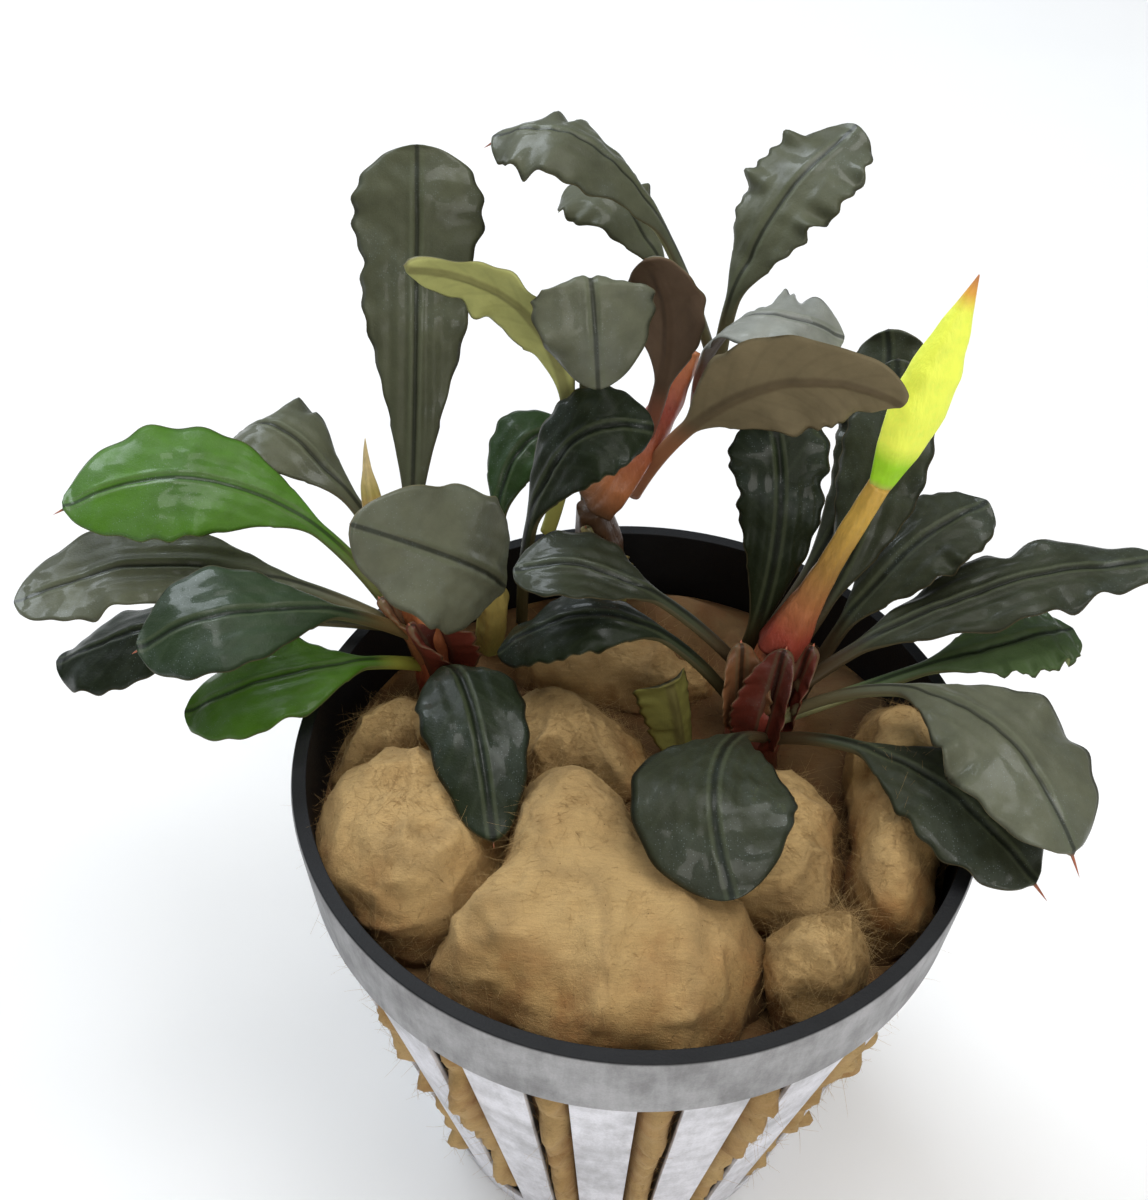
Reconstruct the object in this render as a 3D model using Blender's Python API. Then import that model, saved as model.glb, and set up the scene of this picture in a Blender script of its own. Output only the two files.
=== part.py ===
"""A bucephalandra in a 5 cm net pot packed with rockwool, as it is sold for aquariums.

Metres, +Z up. The origin is the middle of the underside of the pot's floor, which stands at z = 0.
The back of the plant is towards +Y and its right side towards +X. Places inside the tables below
are in millimetres, measured from that origin.
"""
from collections import namedtuple
from math import cos, pi, radians, sin

import bmesh
import bpy
import numpy as np

MM = 0.001

# Net pot
POT_HEIGHT = 45.0
RIM_RADIUS = 25.0
COLLAR_HEIGHT = 7.0
COLLAR_RADIUS = 24.5
FLOOR_RADIUS = 16.3
WALL = 0.9
FLOOR = 1.2
SLOTS = 20
SLOT_ANGLE = 0.127
SLOT_PHASE = 0.062
SLOT_FOOT = 3.0
ROUND_STEPS = 80
CUT_INNER = 11.0
CUT_OUTER = 30.0

# Rockwool
GAP = 0.4
PLUG_TOP = 37.6
WAD_FOOT = 38.0
PLUG_STEPS = 40
CORNER_CUT = 0.25
# Share of a wad's height, and the share of its outline that it has there.
WAD_RINGS = ((0.0, 0.93), (0.35, 1.0), (0.72, 0.9), (0.93, 0.66), (1.0, 0.34))

# Leaves
BLADE_THICKNESS = 0.5
STALK_WIDTH = 1.3
STALK_THICKNESS = 0.9
LEAF_RINGS = 10
LEAF_END = 0.975
OPENING = 1.15
TIP_ROUNDNESS = 0.5
# A blade is at its full flatness once it is this much wider than its stalk, on each side.
FLAT_FROM = 2.0
# Shares of half the width and of half the thickness, round the leaf's section.
LEAF_SECTION = ((-1, 0), (-0.6, 1), (0, 1), (0.6, 1), (1, 0), (0.6, -1), (0, -1), (-0.6, -1))

# Stems
STEM_SIDES = 10
STEM_STEPS = (0.0, 0.25, 0.5, 0.75, 1.0)

# Surfaces, with the angles in degrees above which an edge is left sharp
POT_ROUGHNESS = 0.45
WOOL_ROUGHNESS = 0.95
LEAF_ROUGHNESS = 0.35
STEM_ROUGHNESS = 0.45
POT_CREASE = 30.0
SOFT_CREASE = 55.0

Leaf = namedtuple("Leaf", "name base middle tip width widest stalk roll colour")
Stem = namedtuple("Stem", "name path radii colour")
Wad = namedtuple("Wad", "name outline top colour")

DARK = (0.030, 0.045, 0.030)
GREY = (0.085, 0.105, 0.085)
GREEN = (0.060, 0.160, 0.025)
LIGHT = (0.110, 0.190, 0.070)
OLIVE = (0.140, 0.120, 0.040)
BROWN = (0.090, 0.065, 0.050)
RED_BROWN = (0.170, 0.045, 0.025)
ORANGE = (0.420, 0.220, 0.040)
LIME = (0.560, 0.680, 0.080)
CREAM = (0.600, 0.480, 0.240)
ROCKWOOL = (0.430, 0.260, 0.095)
PLASTIC = (0.020, 0.021, 0.023)

# Each leaf: its foot, the middle of its midrib and its tip, then its width, where along the blade
# it is widest, the share of its length that is bare stalk, and its roll about its own line.
LEAVES = (
    Leaf("left_tall_leaf", (-17.3, 12.6, 51.6), (-17, 22.5, 66), (-17, 30.5, 77), 9.8, 0.8, 0.05, 0, DARK),
    Leaf("left_back_leaf", (-18.4, 15, 48.4), (-26.5, 20, 57.5), (-32.5, 24, 55), 8.8, 0.62, 0.2, 0, GREY),
    Leaf("left_bright_leaf", (-20, 12, 49.4), (-30.5, 14.5, 57.5), (-43, 12.5, 57), 9.6, 0.62, 0.2, -25,
         GREEN),
    Leaf("left_grey_leaf", (-19.4, 10.8, 47.2), (-34, 12, 51.5), (-47.5, 9.5, 50), 9, 0.66, 0.2, -5, GREY),
    Leaf("left_dark_leaf", (-18.7, 9, 48.4), (-27, 4.5, 54.5), (-36, 2, 53), 9.2, 0.6, 0.2, -10, DARK),
    Leaf("left_low_leaf", (-18.9, 11.9, 45.6), (-34, 11.5, 46), (-46.5, 11, 42), 9, 0.7, 0.25, 0, DARK),
    Leaf("left_green_leaf", (-17.8, 9, 44.4), (-25, 5, 47.5), (-34.5, 4, 44), 9, 0.58, 0.2, 0, GREEN),
    Leaf("left_front_leaf", (-15.2, 7.8, 43.8), (-12.5, 2, 49), (-10, -9, 46), 7.8, 0.5, 0.1, 0, DARK),
    Leaf("near_leaf", (-11.4, 13.4, 48), (-11.2, 5.2, 57.9), (-19, 0.6, 66), 10, 0.5, 0.2, -85, GREY),
    Leaf("inner_dark_leaf", (-9, 15.8, 45.6), (-6, 15, 60.5), (1, 16, 62.5), 7.6, 0.55, 0.2, 30, DARK),
    Leaf("inner_back_leaf", (-11.2, 17.4, 45.8), (-10, 23.5, 53), (-5.5, 26, 55), 6.4, 0.6, 0.2, 0, DARK),
    Leaf("back_yellow_leaf", (-6.5, 20.9, 50.4), (-6.9, 20.5, 66.5), (-17, 19.5, 74.2), 5.2, 0.6, 0.3, 70,
         OLIVE),
    Leaf("back_near_leaf", (-3.9, 23, 52), (-4.2, 17.4, 73.5), (-3.4, 13.4, 67.5), 8.5, 0.6, 0.45, 0, GREY),
    Leaf("back_top_leaf", (4.6, 25.6, 64.9), (-3, 25, 79), (-11.5, 28.5, 79), 8.4, 0.58, 0.2, 0, GREY),
    Leaf("back_far_leaf", (3, 27.4, 62.4), (-1, 30, 72), (-6, 34.5, 72), 8, 0.65, 0.2, 0, GREY),
    Leaf("back_brown_leaf", (0.9, 20.2, 60.4), (1.6, 19.2, 69), (0, 20, 74.5), 6, 0.6, 0.15, 55, BROWN),
    Leaf("back_right_leaf", (6.2, 25.4, 63.8), (9, 28, 72.5), (15.5, 33.5, 78), 8.6, 0.68, 0.15, 0, GREY),
    Leaf("back_curled_leaf", (4.4, 22.1, 62.6), (6.7, 16, 72.1), (13.5, 14.6, 71.7), 7.2, 0.6, 0.1, 0, BROWN),
    Leaf("back_olive_leaf", (2, 18.8, 58.4), (8, 10.6, 70.4), (16.5, 8.3, 71.7), 8.4, 0.5, 0.12, -75,
         OLIVE),
    Leaf("right_inner_leaf", (7, 8.6, 46.6), (-1.5, 10, 53), (-9.6, 10.8, 53.2), 7.4, 0.58, 0.3, 0, DARK),
    Leaf("right_arching_leaf", (6.9, 7.6, 43.6), (-2, 9, 50), (-11, 9.5, 45.5), 7.4, 0.58, 0.25, 0, DARK),
    Leaf("right_front_leaf", (9.2, 3, 43.4), (5, -6.5, 50.5), (6, -14.5, 47), 11.2, 0.55, 0.12, 0, DARK),
    Leaf("right_upright_leaf", (8.8, 10.1, 46), (10, 10.7, 57.4), (9, 14.2, 65.4), 7.2, 0.82, 0.05, 0, DARK),
    Leaf("right_behind_leaf", (13.4, 10.6, 47.4), (17.5, 15, 57), (19, 22, 65), 6.8, 0.62, 0.1, 0, DARK),
    Leaf("right_far_leaf", (11.4, 12.6, 46.6), (18, 21, 56), (19, 27, 64), 7.2, 0.74, 0.1, 0, DARK),
    Leaf("right_grey_leaf", (14.8, 9.8, 45.6), (20, 12.5, 53.6), (26.5, 16, 56.5), 7.6, 0.62, 0.1, 0, GREY),
    Leaf("right_long_leaf", (14, 6.4, 47.2), (25.5, 9.5, 52.7), (39.5, 12, 54.5), 7.2, 0.5, 0.1, 0, DARK),
    Leaf("right_light_leaf", (13, 5.2, 44.2), (26, 8, 48), (34, 11, 48), 6.8, 0.58, 0.3, 0, LIGHT),
    Leaf("right_large_leaf", (13.6, 4, 46.4), (22.5, -2, 52.5), (28.5, -12, 50), 10.4, 0.6, 0.25, 0, GREY),
    Leaf("right_under_leaf", (11.9, 2.6, 43.8), (19.5, -4, 48), (27, -11.5, 46), 8.8, 0.6, 0.25, 0, DARK),
)

# Each stem: points along its middle, and its radius at each of them.
STEMS = (
    Stem("left_rhizome", ((-14.7, 10.1, 38.2), (-15.6, 10.6, 43), (-17.3, 11.8, 50.9)), (1.9, 1.8, 1.2),
         RED_BROWN),
    Stem("side_shoot", ((-11.9, 15.7, 38.2), (-11.4, 15, 44), (-11.2, 14.6, 47)), (1.2, 1.2, 0.9), OLIVE),
    Stem("back_rhizome", ((-2.2, 20.6, 38.2), (-2.5, 20.5, 44), (-3.6, 19.8, 51)), (1.9, 1.9, 1.5),
         RED_BROWN),
    Stem("back_stalk", ((-2.7, 20.2, 52.9), (0.5, 21.3, 57.2), (3.8, 23.9, 63.4)), (1.4, 1.2, 0.5),
         RED_BROWN),
    Stem("right_rhizome", ((9.2, 4.6, 38.9), (9.9, 6.6, 43.4), (10.6, 8.3, 47.9)), (2.2, 2.1, 1.4),
         RED_BROWN),
    Stem("left_bud_leaf", ((-19.6, 13.6, 50.6), (-20.4, 15.6, 55.5), (-20.7, 17.3, 60)), (0.9, 0.9, 0.15),
         CREAM),
    Stem("cut_leaf_stub", ((3.6, 3.4, 39.2), (3.3, 4.3, 42.5), (2.6, 5.4, 46)), (0.9, 1.4, 2.2), OLIVE),
    Stem("flower_stalk", ((11.1, 8.2, 48.7), (13.5, 8.4, 56), (16.1, 8.5, 63.5)), (1.2, 0.85, 0.78), ORANGE),
    Stem("spathe", ((16.2, 8.5, 64), (18.2, 9.6, 71), (20.3, 10.9, 79)), (0.9, 1.6, 0.15), LIME),
)

# Each wad of rockwool: its outline seen from above and the height of its top.
WADS = (
    Wad("left_wad", ((-22.6, -5.6), (-21.2, -1.6), (-15.6, 0.9), (-10.8, -0.2), (-9.8, -5.6),
                     (-11.4, -10.4), (-15, -14.8), (-18.8, -12.4), (-21.4, -9)), 45.5, ROCKWOOL),
    Wad("front_wad", ((-8.2, -6.4), (-6.4, -1.8), (-3.6, -1.6), (-0.4, -4.6), (2.8, -8.4),
                      (6.4, -12.2), (8.6, -13.6), (7.2, -17.4), (6.2, -21.4), (0, -22.6),
                      (-6.4, -21.6), (-11.6, -19), (-14, -16.2), (-12.2, -13.2), (-9.7, -10)),
        45.4, ROCKWOOL),
    Wad("wedge_wad", ((9.8, -14.4), (14.8, -12.8), (15.3, -16.6), (10, -20), (8.2, -18.4)), 45, CREAM),
    Wad("right_wad", ((16.1, -3), (16.4, 1.6), (18.2, 6), (21, 6.4), (23, 2), (23.3, -4),
                      (21.8, -8.2), (20.4, -11.2), (16.8, -13.4), (15.6, -9)), 46.5, ROCKWOOL),
    Wad("inner_wad", ((3.6, -7.6), (6, -0.8), (11, 0.8), (14.8, 0.2), (14.9, -8), (12.4, -12.2),
                      (8, -11.8)), 43.0, ROCKWOOL),
    Wad("middle_wad", ((-9.8, 9), (-3, 8.2), (0.6, 7), (1.2, 1.4), (-2.6, 0), (-7, 0.6),
                       (-9.6, 3.6)), 42.5, ROCKWOOL),
    Wad("back_wad", ((-9.4, 13.4), (-6.6, 17.2), (-1, 17.4), (4, 17), (8, 12), (5.6, 8.8), (0.5, 8.6),
                     (-6, 10)), 43.0, ROCKWOOL),
    Wad("back_left_wad", ((-22.4, 0.8), (-22, 6), (-18.8, 7.8), (-14.2, 6.8), (-11.2, 3.6), (-12.4, 1),
                          (-16, 2.9), (-20.4, 0.4)), 42.5, ROCKWOOL),
)


def material(name, colour, roughness):
    """A plain Principled material; everything here is non-metallic."""
    new = bpy.data.materials.new(name + "_material")
    new.use_nodes = True
    shader = new.node_tree.nodes["Principled BSDF"]
    shader.inputs["Base Color"].default_value = (*colour, 1.0)
    shader.inputs["Roughness"].default_value = roughness
    shader.inputs["Metallic"].default_value = 0.0
    return new


def add_object(name, mesh, colour, roughness, crease):
    """Put a mesh into the scene with its own material, shaded smooth but for creases."""
    mesh.shade_smooth()
    mesh.set_sharp_from_angle(angle=radians(crease))
    obj = bpy.data.objects.new(name, mesh)
    bpy.context.scene.collection.objects.link(obj)
    mesh.materials.append(material(name, colour, roughness))
    return obj


def loft(name, rings, point=None):
    """Join rings of equal length into one closed body, with its last end a face or a point."""
    shape = bmesh.new()
    rows = [[shape.verts.new(MM * p) for p in ring] for ring in rings]
    count = len(rows[0])
    for lower, upper in zip(rows, rows[1:]):
        for i in range(count):
            j = (i + 1) % count
            shape.faces.new((lower[i], lower[j], upper[j], upper[i]))
    shape.faces.new(rows[0][::-1])
    if point is None:
        shape.faces.new(rows[-1])
    else:
        apex = shape.verts.new(MM * point)
        for i in range(count):
            shape.faces.new((rows[-1][i], rows[-1][(i + 1) % count], apex))
    bmesh.ops.recalc_face_normals(shape, faces=shape.faces)
    mesh = bpy.data.meshes.new(name)
    shape.to_mesh(mesh)
    shape.free()
    return mesh


def turned(name, profile, steps):
    """Turn a closed (radius, height) outline about the vertical axis."""
    shape = bmesh.new()
    angles = [2 * pi * k / steps for k in range(steps)]
    rows = []
    for radius, height in profile:
        if radius == 0.0:
            rows.append([shape.verts.new((0.0, 0.0, MM * height))] * steps)
        else:
            circle = [(MM * radius * cos(a), MM * radius * sin(a), MM * height) for a in angles]
            rows.append([shape.verts.new(point) for point in circle])
    for lower, upper in zip(rows, rows[1:]):
        for i in range(steps):
            j = (i + 1) % steps
            corners = (lower[i], lower[j], upper[j], upper[i])
            shape.faces.new(list(dict.fromkeys(corners)))
    bmesh.ops.recalc_face_normals(shape, faces=shape.faces)
    mesh = bpy.data.meshes.new(name)
    shape.to_mesh(mesh)
    shape.free()
    return mesh


def wall_radius(height):
    """Outer radius of the pot at a height: a steep collar above a longer taper."""
    collar_foot = POT_HEIGHT - COLLAR_HEIGHT
    if height > collar_foot:
        return COLLAR_RADIUS + (RIM_RADIUS - COLLAR_RADIUS) * (height - collar_foot) / COLLAR_HEIGHT
    return FLOOR_RADIUS + (COLLAR_RADIUS - FLOOR_RADIUS) * height / collar_foot


def slot_cutters():
    """Twenty wedges that reach out through the wall, one for each slot."""
    shape = bmesh.new()
    for k in range(SLOTS):
        middle = -pi / 2 + SLOT_PHASE + 2 * pi * k / SLOTS
        corners = []
        for height in (SLOT_FOOT, POT_HEIGHT - COLLAR_HEIGHT):
            for radius, side in ((CUT_INNER, -1), (CUT_OUTER, -1), (CUT_OUTER, 1), (CUT_INNER, 1)):
                angle = middle + side * SLOT_ANGLE / 2
                point = (MM * radius * cos(angle), MM * radius * sin(angle), MM * height)
                corners.append(shape.verts.new(point))
        foot, top = corners[:4], corners[4:]
        shape.faces.new(foot[::-1])
        shape.faces.new(top)
        for i in range(4):
            j = (i + 1) % 4
            shape.faces.new((foot[i], foot[j], top[j], top[i]))
    mesh = bpy.data.meshes.new("slot_cutters")
    shape.to_mesh(mesh)
    shape.free()
    cutter = bpy.data.objects.new("slot_cutters", mesh)
    bpy.context.scene.collection.objects.link(cutter)
    cutter.hide_render = True
    cutter.display_type = "WIRE"
    return cutter


def net_pot():
    """The tapered pot: a turned wall and floor, with the slots cut out of the wall."""
    collar_foot = POT_HEIGHT - COLLAR_HEIGHT
    profile = (
        (0.0, 0.0), (FLOOR_RADIUS, 0.0), (COLLAR_RADIUS, collar_foot), (RIM_RADIUS, POT_HEIGHT),
        (RIM_RADIUS - WALL, POT_HEIGHT), (COLLAR_RADIUS - WALL, collar_foot),
        (wall_radius(FLOOR) - WALL, FLOOR), (0.0, FLOOR),
    )
    mesh = turned("net_pot", profile, ROUND_STEPS)
    pot = add_object("net_pot", mesh, PLASTIC, POT_ROUGHNESS, POT_CREASE)
    cut = pot.modifiers.new("slots", "BOOLEAN")
    cut.operation = "DIFFERENCE"
    cut.solver = "EXACT"
    cut.object = slot_cutters()
    return pot


def rockwool_plug():
    """The tapered core that fills the pot up to where the plants are set."""
    foot = FLOOR + GAP
    inside = WALL + GAP
    profile = (
        (0.0, foot), (wall_radius(foot) - inside, foot),
        (wall_radius(PLUG_TOP) - inside, PLUG_TOP), (0.0, PLUG_TOP),
    )
    mesh = turned("rockwool_plug", profile, PLUG_STEPS)
    return add_object("rockwool_plug", mesh, ROCKWOOL, WOOL_ROUGHNESS, POT_CREASE)


def wad(spec):
    """A tuft of rockwool: its outline drawn in towards a rounded top."""
    outline = np.array(spec.outline)
    centre = outline.mean(axis=0)
    following = np.roll(outline, -1, axis=0)
    cuts = (CORNER_CUT, 1 - CORNER_CUT)
    pairs = [(1 - cut) * outline + cut * following for cut in cuts]
    smooth = np.stack(pairs, axis=1).reshape(-1, 2)
    rings = []
    for rise, scale in WAD_RINGS:
        flat = centre + scale * (smooth - centre)
        height = WAD_FOOT + rise * (spec.top - WAD_FOOT)
        rings.append(np.column_stack([flat, np.full(len(flat), height)]))
    return add_object(spec.name, loft(spec.name, rings), spec.colour, WOOL_ROUGHNESS, SOFT_CREASE)


def unit(vector):
    return vector / np.linalg.norm(vector)


def bend(start, middle, end, t):
    """Point and direction at t on the parabola that runs through three points."""
    pull = 2 * middle - (start + end) / 2
    place = (1 - t) ** 2 * start + 2 * t * (1 - t) * pull + t ** 2 * end
    direction = 2 * (1 - t) * (pull - start) + 2 * t * (end - pull)
    return place, unit(direction)


def blade_half_width(spec, t):
    """Half the leaf's width at t: a bare stalk that opens into a blade with a round end."""
    stalk = STALK_WIDTH / 2
    s = (t - spec.stalk) / (1 - spec.stalk)
    if s <= 0.0:
        return stalk
    if s < spec.widest:
        blade = sin(pi / 2 * s / spec.widest) ** OPENING
    else:
        blade = (1 - ((s - spec.widest) / (1 - spec.widest)) ** 2) ** TIP_ROUNDNESS
    return max(stalk, spec.width / 2 * blade)


def leaf(spec):
    """A leaf with its stalk, one closed body that is thin at its margins and at its tip."""
    base, middle, tip = (np.array(p, dtype=float) for p in (spec.base, spec.middle, spec.tip))
    level = unit(np.cross(tip - base, (0.0, 0.0, 1.0)))
    turn = radians(spec.roll)
    rings = []
    for t in np.linspace(0.0, LEAF_END, LEAF_RINGS):
        place, along = bend(base, middle, tip, t)
        across = unit(level - np.dot(level, along) * along)
        above = np.cross(across, along)
        normal = cos(turn) * above + sin(turn) * across
        side = np.cross(along, normal)
        half = blade_half_width(spec, t)
        flatness = min(1.0, (half - STALK_WIDTH / 2) / FLAT_FROM)
        thick = STALK_THICKNESS + flatness * (BLADE_THICKNESS - STALK_THICKNESS)
        rings.append([place + u * half * side + v * thick / 2 * normal for u, v in LEAF_SECTION])
    mesh = loft(spec.name, rings, tip)
    return add_object(spec.name, mesh, spec.colour, LEAF_ROUGHNESS, SOFT_CREASE)


def stem(spec):
    """A round stem along a parabola, with its radius eased from one point to the next."""
    start, middle, end = (np.array(p, dtype=float) for p in spec.path)
    rings = []
    for t in STEM_STEPS:
        place, along = bend(start, middle, end, t)
        radius = np.interp(t, (0.0, 0.5, 1.0), spec.radii)
        side = unit(np.cross(along, np.array([0.0, 1.0, 0.0])))
        other = np.cross(along, side)
        turns = [2 * pi * k / STEM_SIDES for k in range(STEM_SIDES)]
        rings.append([place + radius * (cos(a) * side + sin(a) * other) for a in turns])
    return add_object(spec.name, loft(spec.name, rings), spec.colour, STEM_ROUGHNESS, POT_CREASE)


def clear_scene():
    for obj in list(bpy.data.objects):
        bpy.data.objects.remove(obj, do_unlink=True)


def main():
    clear_scene()
    net_pot()
    rockwool_plug()
    for spec in WADS:
        wad(spec)
    for spec in STEMS:
        stem(spec)
    for spec in LEAVES:
        leaf(spec)


main()
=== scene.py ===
# %% [markdown]
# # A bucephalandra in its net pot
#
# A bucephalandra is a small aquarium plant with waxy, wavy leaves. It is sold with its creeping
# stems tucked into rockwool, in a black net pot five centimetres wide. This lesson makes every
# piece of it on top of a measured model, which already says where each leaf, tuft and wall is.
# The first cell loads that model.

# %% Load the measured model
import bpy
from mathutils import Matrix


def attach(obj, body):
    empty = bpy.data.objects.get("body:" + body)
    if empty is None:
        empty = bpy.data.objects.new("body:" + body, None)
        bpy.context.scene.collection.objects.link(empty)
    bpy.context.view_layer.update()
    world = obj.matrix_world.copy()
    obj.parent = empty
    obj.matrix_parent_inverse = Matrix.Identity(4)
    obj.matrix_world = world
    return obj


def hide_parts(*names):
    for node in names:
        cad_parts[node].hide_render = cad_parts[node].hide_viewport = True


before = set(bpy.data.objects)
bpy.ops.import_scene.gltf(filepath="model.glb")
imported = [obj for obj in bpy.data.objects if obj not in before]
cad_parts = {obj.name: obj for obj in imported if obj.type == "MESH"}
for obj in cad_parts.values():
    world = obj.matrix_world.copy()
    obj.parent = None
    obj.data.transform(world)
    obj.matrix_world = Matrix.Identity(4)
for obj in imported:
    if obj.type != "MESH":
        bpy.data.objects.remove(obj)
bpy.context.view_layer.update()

# %% [markdown]
# ## Numbers and arrays
#
# All the sizes below are in millimetres, because that is the scale of this plant. Blender works
# in metres, so one factor turns them over at the moment a mesh is made. The arrays come from
# numpy, which works out thousands of points in one expression.

# %% Tools and units
from collections import namedtuple
from math import cos, pi, radians, sin

import bpy
import numpy as np
from mathutils import Matrix

MM = 0.001
UP = np.array([0.0, 0.0, 1.0])


def unit(vectors):
    """Each vector divided by its own length."""
    return vectors / np.linalg.norm(vectors, axis=-1, keepdims=True)


def ease(value, low, high):
    """0 below low, 1 above high and a smooth S between them: 3x^2 - 2x^3 on the share x."""
    share = np.clip((value - low) / (high - low), 0.0, 1.0)
    return share * share * (3 - 2 * share)


# %% [markdown]
# ## The camera
#
# The camera stands in front of the pot and above it, looking down at a little over 44 degrees
# and leaning by one degree. Its place was worked out from the oval of the rim. Three
# directions at right angles to each other are written as the columns of a matrix, which is
# plainer than three rotation angles and leaves no doubt about their order.

# %% Place the camera
CAMERA_PLACE = (-4.831, -71.644, 129.713)
LOOK_DOWN = radians(44.078)
LEAN = radians(1.115)
LENS = 45.03


def add_camera():
    forward = np.array([0.0, cos(LOOK_DOWN), -sin(LOOK_DOWN)])
    right = np.array([1.0, 0.0, 0.0])
    above = np.cross(right, forward)
    camera_x = cos(LEAN) * right + sin(LEAN) * above
    camera_y = cos(LEAN) * above - sin(LEAN) * right
    turn = Matrix((camera_x, camera_y, -forward)).transposed()
    data = bpy.data.cameras.new("camera")
    data.lens = LENS
    data.sensor_width = 36.0
    data.clip_start = 0.01
    camera = bpy.data.objects.new("camera", data)
    camera.matrix_world = Matrix.Translation([MM * c for c in CAMERA_PLACE]) @ turn.to_4x4()
    bpy.context.scene.collection.objects.link(camera)
    bpy.context.scene.camera = camera
    return camera


camera = add_camera()
print("camera", [round(c, 4) for c in camera.matrix_world.translation])

# %% [markdown]
# ## Light and floor
#
# The plant was photographed in soft daylight on white. A wide cool light behind and to the left
# lays the pale sheen on the leaves, a broad one overhead fills the shadows, and a weak warm one in
# front keeps the rockwool golden. All are large squares, since a large light gives soft edges.

# %% Lights, sky and floor
LIGHTS = (
    ("window", (-300, 360, 420), 330, 2.3, (0.86, 0.93, 1.0)),
    ("overhead", (100, 20, 560), 420, 2.1, (1.0, 0.99, 0.97)),
    ("front", (80, -460, 260), 340, 1.0, (1.0, 0.96, 0.9)),
)
SKY = (0.93, 0.96, 1.0)
SKY_STRENGTH = 0.16
AIM = np.array([0.0, 5.0, 50.0])


def add_light(name, place, size, power, colour):
    data = bpy.data.lights.new(name, "AREA")
    data.size = MM * size
    data.energy = power
    data.color = colour
    light = bpy.data.objects.new(name, data)
    back = unit(np.array(place) - AIM)
    side = unit(np.cross(UP, back))
    turn = Matrix((side, np.cross(back, side), back)).transposed()
    light.matrix_world = Matrix.Translation([MM * c for c in place]) @ turn.to_4x4()
    bpy.context.scene.collection.objects.link(light)


for row in LIGHTS:
    add_light(*row)

world = bpy.data.worlds.new("sky")
world.use_nodes = True
world.node_tree.nodes["Background"].inputs["Color"].default_value = (*SKY, 1.0)
world.node_tree.nodes["Background"].inputs["Strength"].default_value = SKY_STRENGTH
bpy.context.scene.world = world
bpy.context.scene.view_settings.view_transform = "Standard"
print(len(LIGHTS), "lights")

# %% [markdown]
# ## Writing materials as sums
#
# A procedural material is a tree of small nodes. Writing the tree out node by node hides what it
# says, so a wire from a node can be added, multiplied and so on like a number, and each such sign
# adds the Math node it stands for. Every other kind of node comes from one method, which takes the
# node's settings and what goes into its sockets.

# %% Wires and finishes
class Wire:
    """One output of a node. Arithmetic on it adds Math nodes to the same finish."""

    def __init__(self, finish, socket):
        self.finish = finish
        self.socket = socket

    def math(self, operation, *values):
        return self.finish.node("ShaderNodeMath", {"operation": operation}, dict(enumerate(values)))

    def __add__(self, other):
        return self.math("ADD", self, other)

    def __radd__(self, other):
        return self.math("ADD", other, self)

    def __sub__(self, other):
        return self.math("SUBTRACT", self, other)

    def __rsub__(self, other):
        return self.math("SUBTRACT", other, self)

    def __mul__(self, other):
        return self.math("MULTIPLY", self, other)

    def __rmul__(self, other):
        return self.math("MULTIPLY", other, self)

    def __abs__(self):
        return self.math("ABSOLUTE", self)


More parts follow.
